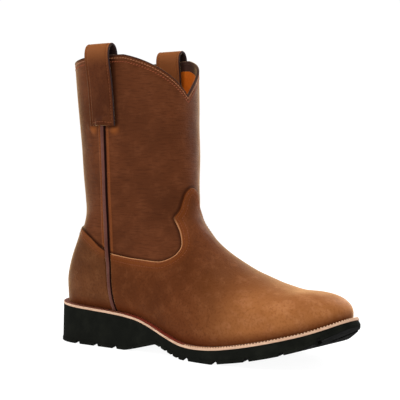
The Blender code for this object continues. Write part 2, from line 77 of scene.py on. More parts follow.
SoleRow = namedtuple("SoleRow", "station bottom top")
SOLE = (
    SoleRow(0.0, 0.6, 35.0),
    SoleRow(10.0, -0.4, 34.6),
    SoleRow(45.0, -0.8, 32.4),
    SoleRow(80.0, -0.6, 30.6),
    SoleRow(97.0, -0.1, 29.2),
    SoleRow(112.0, 3.0, 26.9),
    SoleRow(124.0, 6.0, 23.7),
    SoleRow(135.0, 9.0, 20.1),
    SoleRow(146.0, 6.1, 16.3),
    SoleRow(163.0, 1.2, 11.7),
    SoleRow(178.0, -0.8, 10.2),
    SoleRow(198.0, -0.6, 10.8),
    SoleRow(215.0, 1.6, 12.8),
    SoleRow(245.0, 6.9, 18.5),
    SoleRow(275.0, 14.8, 26.1),
    SoleRow(290.0, 23.0, 31.3),
    SoleRow(305.0, 32.6, 38.2),
)
print("sole:", SOLE_LENGTH, "mm long,", len(PLAN), "widths and", len(SOLE), "heights")

# %% Tables of the upper
GAP = 0.3
WELT_PROUD = 5.0
WELT_THICKNESS = 2.6
OVERLAY = 1.5
UPPER_INSET = WELT_PROUD + GAP + OVERLAY
UpperRow = namedtuple(
    "UpperRow", "front_x front_z run lateral medial widest front_power back_power"
)
UPPER = (
    UpperRow(298.2, 62.2, 291.4, 41.2, 41.2, 0.32, 2.3, 2.0),
    UpperRow(256.0, 59.2, 249.2, 46.7, 46.2, 0.32, 2.2, 2.0),
    UpperRow(220.0, 67.6, 210.2, 48.2, 47.7, 0.32, 2.1, 2.0),
    UpperRow(187.3, 83.4, 166.2, 45.7, 44.7, 0.34, 2.0, 2.0),
    UpperRow(164.9, 99.0, 116.2, 41.9, 39.9, 0.38, 2.0, 2.0),
    UpperRow(151.2, 113.2, 70.2, 41.5, 40.5, 0.42, 2.0, 2.0),
    UpperRow(144.6, 128.0, 33.0, 43.0, 42.5, 0.46, 2.1, 2.1),
    UpperRow(143.5, 146.0, 0.0, 45.0, 45.0, 0.50, 2.1, 2.1),
    UpperRow(142.5, 167.0, -42.0, 46.5, 46.5, 0.50, 2.1, 2.1),
    UpperRow(141.0, 192.0, -94.0, 48.0, 48.0, 0.50, 2.1, 2.1),
    UpperRow(139.8, 220.0, -150.0, 50.0, 50.0, 0.50, 2.1, 2.1),
    UpperRow(138.8, 249.0, -202.0, 51.5, 51.5, 0.50, 2.1, 2.1),
    UpperRow(138.4, 275.0, -237.0, 52.0, 52.0, 0.50, 2.1, 2.1),
)
TOE_HEIGHT_POWER = 2.4
HEEL_SECTION = 7

BackRow = namedtuple("BackRow", "height station")
BACK = (
    BackRow(38.0, 6.8),
    BackRow(52.0, 6.8),
    BackRow(68.0, 11.8),
    BackRow(88.0, 21.8),
    BackRow(109.0, 30.4),
    BackRow(130.0, 30.6),
    BackRow(151.0, 28.6),
    BackRow(187.0, 26.2),
    BackRow(229.0, 22.0),
    BackRow(280.0, 17.6),
)
print("upper:", len(UPPER), "sections and", len(BACK), "points of its back line")

# %% [markdown]
# Between the rows of a table the last is smooth, so a cubic curve runs through each column. A
# Blender curve could do this too, but a plain function gives the value at many stations at
# once, and it is the one that shaped the solids. The outline of the sole is two such curves,
# pulled in to a round heel and a round toe.

# %% Curves through the tables
ARCH_STATION = 135.0


def column(table, name):
    """One named column of a table, as an array."""
    return np.array([getattr(row, name) for row in table], dtype=float)


def smooth(knots, values, at):
    """Cubic curve through a column, with slopes taken from each knot's neighbours."""
    knots = np.asarray(knots, dtype=float)
    values = np.asarray(values, dtype=float)
    at = np.asarray(at, dtype=float)
    slopes = np.empty_like(values)
    slopes[1:-1] = (values[2:] - values[:-2]) / (knots[2:] - knots[:-2])
    slopes[0] = (values[1] - values[0]) / (knots[1] - knots[0])
    slopes[-1] = (values[-1] - values[-2]) / (knots[-1] - knots[-2])
    i = np.clip(np.searchsorted(knots, at, side="right") - 1, 0, len(knots) - 2)
    step = knots[i + 1] - knots[i]
    t = np.clip((at - knots[i]) / step, 0.0, 1.0)
    return (
        values[i] * (1 + 2 * t) * (1 - t) ** 2
        + slopes[i] * step * t * (1 - t) ** 2
        + values[i + 1] * t * t * (3 - 2 * t)
        + slopes[i + 1] * step * t * t * (t - 1)
    )


def sole_bottom(station):
    """Height of the outsole's underside, flat where it meets the floor."""
    return np.maximum(smooth(column(SOLE, "station"), column(SOLE, "bottom"), station), 0.0)


def sole_top(station):
    """Height of the outsole's top face."""
    return smooth(column(SOLE, "station"), column(SOLE, "top"), station)


print("arch:", round(float(sole_bottom(ARCH_STATION)), 1), "mm over the floor")

# %% Outline of the sole
BALL_STATION = 215.0


def round_end(distance, cap):
    """Share of the full width at a distance from a rounded end of the outline."""
    d = np.clip(1 - distance / cap.run, 0.0, 1.0)
    return (1 - d ** cap.power) ** (1 / cap.power)


def plan_edges(station, inset):
    """Outer and inner edge of the sole's outline, moved in by the inset."""
    low = inset
    high = SOLE_LENGTH - inset
    s = np.clip(station, low, high)
    knots = column(PLAN, "station")
    centre = smooth(knots, column(PLAN, "centre"), s)
    half = smooth(knots, column(PLAN, "half_width"), s) - inset
    half = half * round_end(s - low, CapSize(HEEL_CAP.run - inset, HEEL_CAP.power))
    half = half * round_end(high - s, CapSize(TOE_CAP.run - inset, TOE_CAP.power))
    return centre - half, centre + half


def feather(station):
    """Height of the upper's bottom edge, which sits on the welt."""
    return sole_top(station) + GAP + WELT_THICKNESS + GAP


ball_outer, ball_inner = plan_edges(BALL_STATION, 0.0)
print("ball:", round(float(ball_inner - ball_outer), 1), "mm wide")

# %% [markdown]
# Leather is pulled over the last from toe to top. Each section of the upper fans from the
# ridge line, over the instep and up the shin, to the sole or the back line, and is made of
# two quarter ovals a side. A sculpted foot could look the same, but a formula can be moved
# out or in by a value, grow, so one function gives the lining, the leather, the overlays
# and every crease.

# %% The face of the upper
def upper_points(u, t, side, grow):
    """Points of the upper's face, moved out by grow.

    u counts the sections from the toe, t runs from the ridge line (0) to the bottom or back
    line (1), and side is -1 for the outer half and 1 for the inner half.
    """
    knots = np.arange(len(UPPER))
    row = {name: smooth(knots, column(UPPER, name), u) for name in UpperRow._fields}
    front_x = row["front_x"] + grow * np.clip(1 - u, 0.0, 1.0)
    run = row["run"]
    on_sole = run >= 0
    sole_x = UPPER_INSET + run + grow * (2 * run / UPPER[0].run - 1)

    heel_height = float(feather(UPPER_INSET))
    back_z = heel_height - np.minimum(run, 0.0)
    back_x = smooth(column(BACK, "height"), column(BACK, "station"), back_z) - grow
    bottom_x = np.where(on_sole, sole_x, back_x)
    bottom_z = np.where(on_sole, feather(bottom_x), back_z)

    ahead = 0.05
    rise, reach = (
        smooth(knots, column(UPPER, name), u + ahead)
        - smooth(knots, column(UPPER, name), u - ahead)
        for name in ("front_z", "front_x")
    )
    length = np.hypot(rise, reach)
    dome_start = UPPER[1].front_x
    dome = np.clip((front_x - dome_start) / (UPPER[0].front_x + grow - dome_start), 0.0, 1.0)
    height_share = (1 - dome ** TOE_HEIGHT_POWER) ** (1 / TOE_HEIGHT_POWER)
    in_dome = u < 1
    ridge_x = np.where(in_dome, front_x, front_x + grow * rise / length)
    ridge_z = np.where(
        in_dome,
        bottom_z + (row["front_z"] + grow - bottom_z) * height_share,
        row["front_z"] - grow * reach / length,
    )

    outer, inner = plan_edges(bottom_x, UPPER_INSET - grow)
    centre = (outer + inner) / 2
    low_width = np.where(on_sole, (inner - outer) / 2, 0.0)
    first = UPPER[1]
    first_outer, first_inner = plan_edges(UPPER_INSET + first.run, UPPER_INSET)
    first_full = first.lateral if side < 0 else first.medial
    swell = 2 * first_full / (first_inner - first_outer)
    full_width = (row["lateral"] if side < 0 else row["medial"]) + grow
    full_width = np.where(in_dome, low_width * swell, full_width)
    full_width = np.maximum(full_width, 1e-6)

    back_power = row["back_power"]
    front_power = row["front_power"]
    cut = (1 - np.clip(low_width / full_width, 0.0, 1.0) ** back_power) ** (1 / back_power)
    cut = np.maximum(cut, 0.05)
    last_angle = np.arcsin(np.clip(cut ** (back_power / 2), 0.0, 1.0))
    angle = t * (math.pi / 2 + last_angle)
    front_angle = np.clip(angle, 0.0, math.pi / 2)
    back_angle = np.clip(angle - math.pi / 2, 0.0, math.pi / 2)
    in_front = angle <= math.pi / 2
    widest = row["widest"]
    level = np.where(
        in_front,
        widest + (1 - widest) * np.clip(np.cos(front_angle), 0, 1) ** (2 / front_power),
        widest - widest / cut * np.sin(back_angle) ** (2 / back_power),
    )
    width = np.where(
        in_front,
        full_width * np.sin(front_angle) ** (2 / front_power),
        full_width * np.clip(np.cos(back_angle), 0, 1) ** (2 / back_power),
    )
    x = bottom_x + (ridge_x - bottom_x) * level
    z = bottom_z + (ridge_z - bottom_z) * level
    y = centre + side * width
    return np.stack([x, y, z], axis=-1)


toe_tip = upper_points(np.zeros(1), np.zeros(1), -1, 0.0)[0]
print("toe tip:", toe_tip.round(1))

# %% The edge of the collar
SEAM_STATION = 82.1
COLLAR_SIDE = 263.5
COLLAR_BACK = 258.0
COLLAR_DIP = 228.0
COLLAR_DIP_POWER = 0.78
COLLAR_DIP_HALF_WIDTH = 46.0
COLLAR_DIP_ROUNDING = 1.5
COLLAR_BACK_SLOPE = 1.4


def collar_height(points):
    """Height of the collar's edge over each point of the shaft."""
    x = points[..., 0]
    y = np.abs(points[..., 1])
    soft = np.sqrt(y ** 2 + COLLAR_DIP_ROUNDING ** 2) - COLLAR_DIP_ROUNDING
    rise = np.clip(soft / COLLAR_DIP_HALF_WIDTH, 0.0, 1.0) ** COLLAR_DIP_POWER
    front = COLLAR_DIP + (COLLAR_SIDE - COLLAR_DIP) * rise
    behind = np.clip((SEAM_STATION - x) / SEAM_STATION * COLLAR_BACK_SLOPE, 0.0, 1.0)
    back = COLLAR_SIDE - (COLLAR_SIDE - COLLAR_BACK) * behind ** 2
    return np.where(x > SEAM_STATION, front, back)


def collar_section(t, side):
    """Section number at which each column of the shaft reaches the collar's edge."""
    fine = np.linspace(HEEL_SECTION, len(UPPER) - 1, 241)
    u, tt = np.meshgrid(fine, t, indexing="ij")
    points = upper_points(u, tt, side, 0.0)
    over = points[..., 2] - collar_height(points)
    return np.array([np.interp(0.0, over[:, j], fine) for j in range(len(t))])


print("collar:", COLLAR_SIDE, "mm high at the sides,", COLLAR_DIP, "mm at the dip")

# %% [markdown]
# All the leather panels are cut from one fine sheet over the last, as a cutter takes them from
# one hide. Booleans on solids could cut them too, but they can't tell how far a point lies
# from an edge, and skived edges and stitches need that. A sheet is a mesh of triangles in the
# last's own numbers, section u and column t, one for each half. It carries fields, with one
# value a point.

# %% A fine sheet over each half
DOME_ROWS = 26
SECTION_ROWS = 22
HEEL_ROWS = 22
SHAFT_ROWS = 104
COLUMNS = 84


def lay_sheet(side, coarse=1):
    """Fine triangles over one half of the upper, in section and column numbers."""
    t = np.linspace(0.0, 1.0, COLUMNS // coarse + 1)
    dome = 1 - np.cos(np.linspace(0, math.pi / 2, DOME_ROWS // coarse + 1))
    foot_rows = (HEEL_SECTION - 2) * SECTION_ROWS // coarse
    foot = np.linspace(1.0, HEEL_SECTION - 1, foot_rows + 1)[1:]
    heel = np.sin(np.linspace(0, math.pi / 2, HEEL_ROWS // coarse + 1))[1:]
    heel = HEEL_SECTION - 1 + heel
    low = np.concatenate([dome, foot, heel])
    top = collar_section(t, side)
    share = np.linspace(0.0, 1.0, SHAFT_ROWS // coarse + 1)[1:, None]
    u = np.concatenate([
        np.repeat(low[:, None], len(t), axis=1),
        HEEL_SECTION + (top[None, :] - HEEL_SECTION) * share,
    ])
    rows, columns = u.shape
    index = np.arange(rows * columns).reshape(rows, columns)
    a, b = index[:-1, :-1].ravel(), index[:-1, 1:].ravel()
    d, c = index[1:, :-1].ravel(), index[1:, 1:].ravel()
    triangles = np.concatenate([np.stack([a, b, c], 1), np.stack([a, c, d], 1)])
    return {
        "side": side,
        "triangles": triangles,
        "u": u.ravel(),
        "t": np.repeat(t[None, :], rows, axis=0).ravel(),
    }


def face_of(sheet, grow=0.0):
    """Points of a sheet on the upper's face, moved out by grow."""
    return upper_points(sheet["u"], sheet["t"], sheet["side"], grow)


sheets = [lay_sheet(side) for side in (-1, 1)]
print("sheet:", sum(len(s["triangles"]) for s in sheets), "triangles over both halves")

# %% [markdown]
# The edge of the vamp runs from the side seam, round the quarter, to a point beside the
# throat, and up the tongue to the shin. It could be drawn on the flat pattern, but a pattern
# is hard to compare with a boot. So it is drawn as seen along the diagonal between front and
# side, where it shows best: a sight is the station less the distance out from the middle. The
# counter's top edge is drawn from the side.

# %% Edges of the overlays
SEAM_HALF_WIDTH = 2.5
COUNTER_START = -20.0
LINE_STEPS = 6
SightPoint = namedtuple("SightPoint", "sight height")
VAMP_EDGE = (
    SightPoint(39.7, 87.4),
    SightPoint(52.5, 85.0),
    SightPoint(71.0, 82.7),
    SightPoint(95.3, 81.2),
    SightPoint(106.6, 82.8),
    SightPoint(118.0, 87.3),
    SightPoint(125.0, 92.8),
    SightPoint(127.1, 97.6),
    SightPoint(126.0, 106.0),
    SightPoint(123.2, 113.0),
    SightPoint(119.4, 119.6),
)
TONGUE_EDGE = (
    SightPoint(119.4, 119.6),
    SightPoint(127.1, 126.4),
    SightPoint(130.5, 133.8),
    SightPoint(134.3, 141.0),
    SightPoint(140.0, 145.0),
    SightPoint(143.6, 145.8),
)
SidePoint = namedtuple("SidePoint", "station height")
COUNTER_EDGE = (
    SidePoint(COUNTER_START, 111.0),
    SidePoint(25.0, 110.6),
    SidePoint(42.0, 108.6),
    SidePoint(54.7, 105.0),
    SidePoint(64.6, 99.6),
    SidePoint(72.0, 94.4),
    SidePoint(SEAM_STATION - SEAM_HALF_WIDTH - GAP, 89.8),
)


def smooth_line(points, steps):
    """Points along a smooth line through a short table of two-column rows."""
    rows = np.array(points, dtype=float)
    knots = np.arange(len(rows))
    at = np.linspace(0, len(rows) - 1, (len(rows) - 1) * steps + 1)
    return np.stack([smooth(knots, rows[:, k], at) for k in range(2)], axis=-1)


edge = np.concatenate([
    smooth_line(VAMP_EDGE, LINE_STEPS), smooth_line(TONGUE_EDGE, LINE_STEPS)[1:]
])
far, low = 400.0, -80.0
vamp_outline = [(-far, edge[0][1]), *edge, (far, edge[-1][1]), (far, low), (-far, low)]
edge = smooth_line(COUNTER_EDGE, LINE_STEPS)
counter_outline = [*edge, (far, edge[-1][1]), (far, low), (COUNTER_START, low)]
print("outlines:", len(vamp_outline), "and", len(counter_outline), "points")

# %% Fields that know the edges
RIDGE_Y = -0.7
STRAP_WIDTH = 28.5
STRAP_LEAN = 0.036
STRAP_END = 201.0
STRAP_CORNER = (2.0, 3.0)
FAR_AWAY = 99.0


def inside_outline(points, outline):
    """Distance of flat points inside an outline, negative outside it."""
    a = np.asarray(outline)
    b = np.roll(a, -1, axis=0)
    odd = np.zeros(len(points), bool)
    nearest = np.full(len(points), 1e9)
    for p, q in zip(a, b):
        along = q - p
        to = points - p
        share = np.clip(to @ along / max(along @ along, 1e-12), 0.0, 1.0)
        nearest = np.minimum(nearest, np.linalg.norm(to - share[:, None] * along, axis=1))
        if p[1] != q[1]:
            spans = (p[1] > points[:, 1]) != (q[1] > points[:, 1])
            odd ^= spans & (points[:, 0] < p[0] + (points[:, 1] - p[1]) * along[0] / along[1])
    return np.where(odd, nearest, -nearest)


for sheet in sheets:
    face = face_of(sheet)
    sight = face[:, 0] - np.abs(face[:, 1] - RIDGE_Y)
    sheet["vamp"] = inside_outline(np.stack([sight, face[:, 2]], 1), vamp_outline)
    sheet["counter"] = inside_outline(face[:, [0, 2]], counter_outline)
    sheet["collar"] = collar_height(face) - face[:, 2]
    sheet["seam"] = face[:, 0] - SEAM_STATION
    # rise: height over the feather line; the overlays' finish paints shade where it is low
    sheet["rise"] = face[:, 2] - feather(face[:, 0])
    # strap: distance ahead of the strap's front edge, where the shaft's finish paints the strap's
    # shadow
    strap_front = SEAM_STATION - STRAP_LEAN * (face[:, 2] - STRAP_END) + STRAP_WIDTH / 2
    ahead = np.maximum(face[:, 0] - strap_front, 0.0)
    ahead = np.hypot(ahead, np.maximum(STRAP_END - face[:, 2], 0.0))
    sheet["strap"] = np.where(sheet["seam"] > 0, ahead, FAR_AWAY)
    # corner: distance from the strap's lower corners, where the shaft's finish paints a highlight
    corner = np.abs(sheet["seam"]) - STRAP_WIDTH / 2
    inward, downward = STRAP_CORNER
    sheet["corner"] = np.hypot(corner + inward, face[:, 2] - STRAP_END + downward)
print("fields:", [name for name in sheets[0] if name not in ("side", "triangles", "u", "t")])

# %% [markdown]
# A distance in a drawing is shorter than on the leather, where the face turns away from the
# eye. So the zero line of each drawn field is followed across the triangles, and every point
# of the sheet looks up its nearest point on that line. A tree of points makes the search
# quick.

# %% True distances from the edges
SEAM_EDGE = SEAM_HALF_WIDTH + GAP
LINE_SHARES = np.arange(6) / 6


def level_lines(sheet, field, level, where=None):
    """Lines along which a field has one level, as lists of section and column numbers."""
    values = sheet[field]
    over = values > level
    tri = sheet["triangles"]
    if where is not None:
        tri = tri[where[tri].all(1)]
    tri = tri[over[tri].any(1) & ~over[tri].all(1)]
    joins = {}
    for corners in tri:
        ends = []
        for i, j in ((0, 1), (1, 2), (2, 0)):
            if over[corners[i]] != over[corners[j]]:
                ends.append(tuple(sorted((corners[i], corners[j]))))
        for one, other in (ends, ends[::-1]):
            joins.setdefault(one, []).append(other)
    lines = []
    unused = set(joins)
    starts = [k for k in joins if len(joins[k]) == 1] + list(joins)
    for start in starts:
        if start not in unused:
            continue
        chain = [start]
        unused.discard(start)
        while True:
            following = [k for k in joins[chain[-1]] if k in unused]
            if not following:
                break
            chain.append(following[0])
            unused.discard(following[0])
        i, j = np.array(chain).T
        share = (level - values[i]) / (values[j] - values[i])
        line = [sheet[n][i] * (1 - share) + sheet[n][j] * share for n in ("u", "t")]
        if len(chain) > 3:
            lines.append(np.stack(line, axis=-1))
    return lines


def true_distance(halves, field):
    """Turn a drawn distance into the distance in space from the field's zero line."""
    line = []
    for sheet in halves:
        for run in level_lines(sheet, field, 0.0):
            points = upper_points(run[:, 0], run[:, 1], sheet["side"], 0.0)
            for share in LINE_SHARES:
                line.append(points[:-1] + (points[1:] - points[:-1]) * share)
    line = np.concatenate(line)
    tree = KDTree(len(line))
    for i, point in enumerate(line):
        tree.insert(point, i)
    tree.balance()
    for sheet in halves:
        reach = np.array([tree.find(p)[2] for p in face_of(sheet)])
        sheet[field] = np.sign(sheet[field]) * reach


for field in ("vamp", "counter"):
    true_distance(sheets, field)
for sheet in sheets:
    sheet["vamp_edge"] = sheet["vamp"].copy()
    sheet["counter_edge"] = np.where(sheet["seam"] < 0, sheet["counter"], -FAR_AWAY)
    sheet["vamp"] = np.minimum(sheet["vamp"], sheet["seam"] - SEAM_EDGE)
    sheet["counter"] = np.minimum(sheet["counter"], -sheet["seam"] - SEAM_EDGE)
    print("deepest point inside the vamp:", round(float(sheet["vamp"].max()), 1), "mm")

# %% [markdown]
# A new boot is not quite smooth. The toe box breaks where the last's toe ends, the vamp has
# soft flex lines across the ball, the ankle folds a little, and the shaft hangs in long waves.
# Noise would wrinkle all the leather alike, so each crease is placed one by one: a line drawn
# from the side or from above, a width and a depth. All the layers follow the same creases, so
# they stay the same distance apart.

# %% Creases
CREASE_FADE = 14.0
Crease = namedtuple("Crease", "view start_a start_b end_a end_b width depth")
CREASES = (
    Crease("top", 252.0, -26.0, 249.0, 30.0, 11.0, -0.55),
    Crease("top", 232.0, -34.0, 225.0, 36.0, 9.0, -0.25),
    Crease("top", 208.0, -34.0, 200.0, 34.0, 10.0, -0.3),
    Crease("top", 220.0, -36.0, 213.0, 36.0, 8.0, 0.2),
    Crease("outer", 146.0, 124.0, 118.0, 106.0, 9.0, -0.9),
    Crease("outer", 152.0, 104.0, 122.0, 84.0, 11.0, 0.7),
    Crease("outer", 158.0, 88.0, 134.0, 66.0, 12.0, -0.6),
    Crease("outer", 118.0, 200.0, 112.0, 150.0, 14.0, -0.7),
    Crease("outer", 132.0, 190.0, 128.0, 150.0, 9.0, 0.5),
    Crease("outer", 52.0, 180.0, 58.0, 140.0, 12.0, -0.6),
    Crease("outer", 48.0, 128.0, 66.0, 122.0, 8.0, -0.6),
    Crease("sides", 64.0, 200.5, 72.5, 196.0, 2.6, 1.2),
    Crease("sides", 92.0, 196.0, 100.5, 200.5, 2.6, 1.2),
    Crease("inner", 146.0, 124.0, 116.0, 104.0, 9.0, -0.9),
    Crease("inner", 152.0, 102.0, 120.0, 82.0, 11.0, 0.7),
    Crease("inner", 120.0, 200.0, 112.0, 150.0, 14.0, -0.7),
    Crease("inner", 50.0, 180.0, 58.0, 140.0, 12.0, -0.6),
    Crease("inner", 46.0, 128.0, 64.0, 122.0, 8.0, -0.6),
)


def crease_depth(points, side):
    """How far the creases move each point of the face in or out."""
    total = np.zeros(points.shape[:-1])
    for crease in CREASES:
        if crease.view == "top":
            flat = points[..., :2]
        elif crease.view in ("sides", "outer" if side < 0 else "inner"):
            flat = points[..., [0, 2]]
        else:
            continue
        start = np.array([crease.start_a, crease.start_b])
        along = np.array([crease.end_a, crease.end_b]) - start
        share = np.clip((flat - start) @ along / (along @ along), 0.0, 1.0)
        away = np.linalg.norm(flat - start - share[..., None] * along, axis=-1)
        total = total + crease.depth * np.exp(-(away / crease.width) ** 2)
    clear = np.clip((points[..., 2] - feather(points[..., 0])) / CREASE_FADE, 0.0, 1.0)
    return total * clear


def leather(u, t, side, grow):
    """Points of a creased layer of leather, grow millimetres out from the upper's face."""
    base = upper_points(u, t, side, 0.0)
    return upper_points(u, t, side, grow + crease_depth(base, side))


print("creases:", len(CREASES))

# %% [markdown]
# To cut a panel, the triangles that an edge crosses are split along it, so the panel ends on
# a clean line and not in teeth. More splits just inside the edge give the rows of points that
# a rounded edge and a row of stitches need.

# %% Cut a panel from a sheet
def split_along(sheet, field, level):
    """Split the triangles that cross a level of a field, so that edges lie on the level."""
    names = [n for n in sheet if n not in ("side", "triangles")]
    values = sheet[field]
    over = values > level
    tri = sheet["triangles"]
    crossing = over[tri].any(1) & ~over[tri].all(1)
    made, first, second, share, pieces = {}, [], [], [], []

    def cut_point(i, j):
        key = (min(i, j), max(i, j))
        if key not in made:
            made[key] = len(values) + len(first)
            first.append(key[0])
            second.append(key[1])
            share.append((level - values[key[0]]) / (values[key[1]] - values[key[0]]))
        return made[key]

    for a, b, c in tri[crossing]:
        if over[b] != over[a] and over[b] != over[c]:
            a, b, c = b, c, a
        elif over[c] != over[a] and over[c] != over[b]:
            a, b, c = c, a, b
        p, q = cut_point(a, b), cut_point(a, c)
        pieces += [(a, p, q), (p, b, c), (p, c, q)]
    if not pieces:
        return sheet
    share = np.array(share)
    finer = {"side": sheet["side"]}
    finer["triangles"] = np.concatenate([tri[~crossing], np.array(pieces)])
    for name in names:
        ends = sheet[name][first] * (1 - share) + sheet[name][second] * share
        finer[name] = np.concatenate([sheet[name], ends])
    finer[field][len(values):] = level
    return finer


def cut_out(sheet, field, levels=()):
    """The part of a sheet where a field is over zero, split at more levels inside."""
    for level in (0.0, *levels):
        sheet = split_along(sheet, field, level)
    values = sheet[field][sheet["triangles"]]
    inside = (values > -1e-9).all(1) & (values.mean(1) > 0.0)
    return {**sheet, "triangles": sheet["triangles"][inside]}


trial = [cut_out(sheet, "vamp") for sheet in sheets]
print("vamp:", sum(len(part["triangles"]) for part in trial), "triangles when cut out")

# %% [markdown]
# A panel is then closed: its face, its back, and a rim that joins them. A Solidify modifier
# would do this for a plain sheet, but here the face takes a profile from the fields, so that
# a skived edge rounds over and a row of stitches pulls a shallow trough. Fields stay on the
# mesh as attributes for the finishes to read.

# %% A piece in the frame
MM = 0.001
MIDLINE_SHIFT = -0.38


def placed(points):
    """Millimetre points in station coordinates as metres in the frame."""
    return (np.asarray(points, dtype=float) + (-SOLE_LENGTH / 2, MIDLINE_SHIFT, 0.0)) * MM


def dressed(name, points, faces, fields=None, sharp=50.0):
    """A new mesh piece, placed in the frame, smooth but for edges sharper than an angle."""
    mesh = bpy.data.meshes.new(name)
    mesh.from_pydata(placed(points).tolist(), [], [list(map(int, f)) for f in faces])
    for field, values in (fields or {}).items():
        layer = mesh.attributes.new(field, "FLOAT", "POINT")
        layer.data.foreach_set("value", np.asarray(values, dtype=np.float32))
    mesh.validate()
    mesh.shade_smooth()
    mesh.set_sharp_from_angle(angle=math.radians(sharp))
    piece = bpy.data.objects.new(name, mesh)
    bpy.context.scene.collection.objects.link(piece)
    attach(piece, "root")
    return piece


print("heel end in the frame:", placed([0.0, 0.0, 0.0]).round(4))

# %% Close a panel
def joined(points, digits):
    """First point of each place, and the place of every point."""
    _, first, place = np.unique(
        np.round(points, digits), axis=0, return_index=True, return_inverse=True
    )
    return first, place.reshape(-1)


def layer_points(part, grow):
    """Points of a layer over part of a sheet, where grow is a number or a profile."""
    out = grow(part) if callable(grow) else grow
    return leather(part["u"], part["t"], part["side"], out)


def panel(name, halves, outer, inner, fields=()):
    """Closed piece of leather between two layers over both halves of the last."""
    base, face, back, tri, carried = [], [], [], [], {field: [] for field in fields}
    start = 0
    for sheet in halves:
        used = np.unique(sheet["triangles"])
        renumber = np.zeros(len(sheet["u"]), int)
        renumber[used] = np.arange(len(used))
        part = {n: v[used] for n, v in sheet.items() if n not in ("side", "triangles")}
        part["side"] = sheet["side"]
        base.append(face_of(part))
        face.append(layer_points(part, outer))
        back.append(layer_points(part, inner))
        corners = renumber[sheet["triangles"]]
        p, q, r = (face[-1][corners[:, k]] for k in range(3))
        out = face[-1][corners[:, 0]] - back[-1][corners[:, 0]]
        if (np.cross(q - p, r - p) * out).sum() < 0:
            corners = corners[:, ::-1]
        tri.append(corners + start)
        start += len(used)
        for field in fields:
            carried[field].append(part[field])
    base, face, back, tri = (np.concatenate(a) for a in (base, face, back, tri))
    first, place = joined(base, 3)
    tri = place[tri]
    tri = tri[(tri[:, 0] != tri[:, 1]) & (tri[:, 1] != tri[:, 2]) & (tri[:, 2] != tri[:, 0])]
    face, back = face[first], back[first]
    edges = np.concatenate([tri[:, [0, 1]], tri[:, [1, 2]], tri[:, [2, 0]]])
    _, index, count = np.unique(
        np.sort(edges, axis=1), axis=0, return_index=True, return_counts=True
    )
    rim = edges[index[count == 1]]
    many = len(face)
    faces = [*tri, *(tri[:, ::-1] + many)]
    faces += [(b, a, a + many, b + many) for a, b in rim]
    on_mesh = {}
    for field in fields:
        values = np.concatenate(carried[field])[first]
        on_mesh[field] = np.concatenate([values, values])
    piece = dressed(name, np.concatenate([face, back]), faces, on_mesh)
    print(name + ":", len(piece.data.polygons), "faces,", (count > 2).sum(), "odd edges")
    return piece

# %% [markdown]
# The shaft is one skin from collar to sole, and it runs a little way under the vamp and the
# counter, as a real quarter does. Beside each side seam its edges are turned and stitched,
# which leaves two soft ridges. They could be strips of their own, but the real ones are the
# skin itself, so the skin swells there above the overlays.

# %% Shaft leather
UNDERLAP = 9.0
SKIN = 1.2
COLLAR_ROWS = (2.7, 5.9)
RIDGE_HEIGHT = 0.95
BACK_RIDGE, BACK_RIDGE_WIDTH = -4.4, 1.4
FRONT_RIDGE, FRONT_RIDGE_WIDTH = 4.8, 1.5
RIDGE_LEVELS = (-7.0, -6.0, -5.2, -4.4, -3.6, -2.8, 2.8, 3.6, 4.4, 5.2, 6.2, 7.4)
RIDGE_START, RIDGE_FADE = 4.0, 12.0
ABOVE_EDGE = 3.0
COLLAR_LEVELS = (1.8, 2.3, 2.7, 3.1, 3.6, 5.0, 5.5, 5.9, 6.3, 6.8)
COLLAR_ROW_WIDTH, COLLAR_ROW_DEPTH = 0.6, 0.25
COLLAR_EDGE_WIDTH, COLLAR_EDGE_DEPTH = 0.8, 0.3


def trough(distance, middle, width):
    """Soft groove, 1 at its middle and 0 away from it."""
    return np.exp(-((distance - middle) / width) ** 2)


def seam_ridges(sheet):
    """Height of the turned edges beside the seam, above the overlays' edges."""
    above_counter = np.clip(-sheet["counter_edge"] / ABOVE_EDGE, 0.0, 1.0)
    above_vamp = np.clip(-sheet["vamp_edge"] / ABOVE_EDGE, 0.0, 1.0)
    back = above_counter * trough(sheet["seam"], BACK_RIDGE, BACK_RIDGE_WIDTH)
    front = above_vamp * trough(sheet["seam"], FRONT_RIDGE, FRONT_RIDGE_WIDTH)
    fade = np.clip((sheet["collar"] - RIDGE_START) / RIDGE_FADE, 0.0, 1.0)
    return RIDGE_HEIGHT * fade * (back + front)


def shaft_face(sheet):
    """Face of the shaft: turned ridges by the seam and pulled rows below the collar."""
    rows = sum(trough(sheet["collar"], row, COLLAR_ROW_WIDTH) for row in COLLAR_ROWS)
    worn = trough(sheet["collar"], 0.0, COLLAR_EDGE_WIDTH)
    return seam_ridges(sheet) - COLLAR_ROW_DEPTH * rows - COLLAR_EDGE_DEPTH * worn


skin = []
for sheet in sheets:
    sheet["under"] = UNDERLAP - np.maximum(sheet["vamp"], sheet["counter"])
    part = cut_out(sheet, "under")
    for level in RIDGE_LEVELS:
        part = split_along(part, "seam", level)
    for level in COLLAR_LEVELS:
        part = split_along(part, "collar", level)
    skin.append(part)
shaft = panel(
    "shaft_leather", skin, shaft_face, -SKIN,
    fields=("vamp_edge", "counter_edge", "strap", "corner", "seam"),
)
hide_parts("upper")

# %% [markdown]
# The vamp and the counter lie on the skin. A cutter skives their edges, so the profile rises
# from the edge in a quarter-round, and the two rows of thread inside the edge pull it down. A
# bevel modifier would round the edges evenly, but not pull the rows.

# %% Vamp and counter
EDGE_ROUND = 1.2
FIRST_ROW, SECOND_ROW = 2.4, 6.2
ROW_WIDTH, ROW_DEPTH = 0.7, 0.14
EDGE_LEVELS = (0.12, 0.4, 0.9, 1.6, 2.0, 2.4, 2.8, 3.3, 5.3, 5.8, 6.2, 6.6, 7.2)
BACK_GAP = 0.05


def rounded(distance, reach):
    """Quarter-round rise from 0 at an edge to 1 at a reach inside it."""
    d = np.clip(distance / reach, 0.0, 1.0)
    return np.sqrt(1 - (1 - d) ** 2)


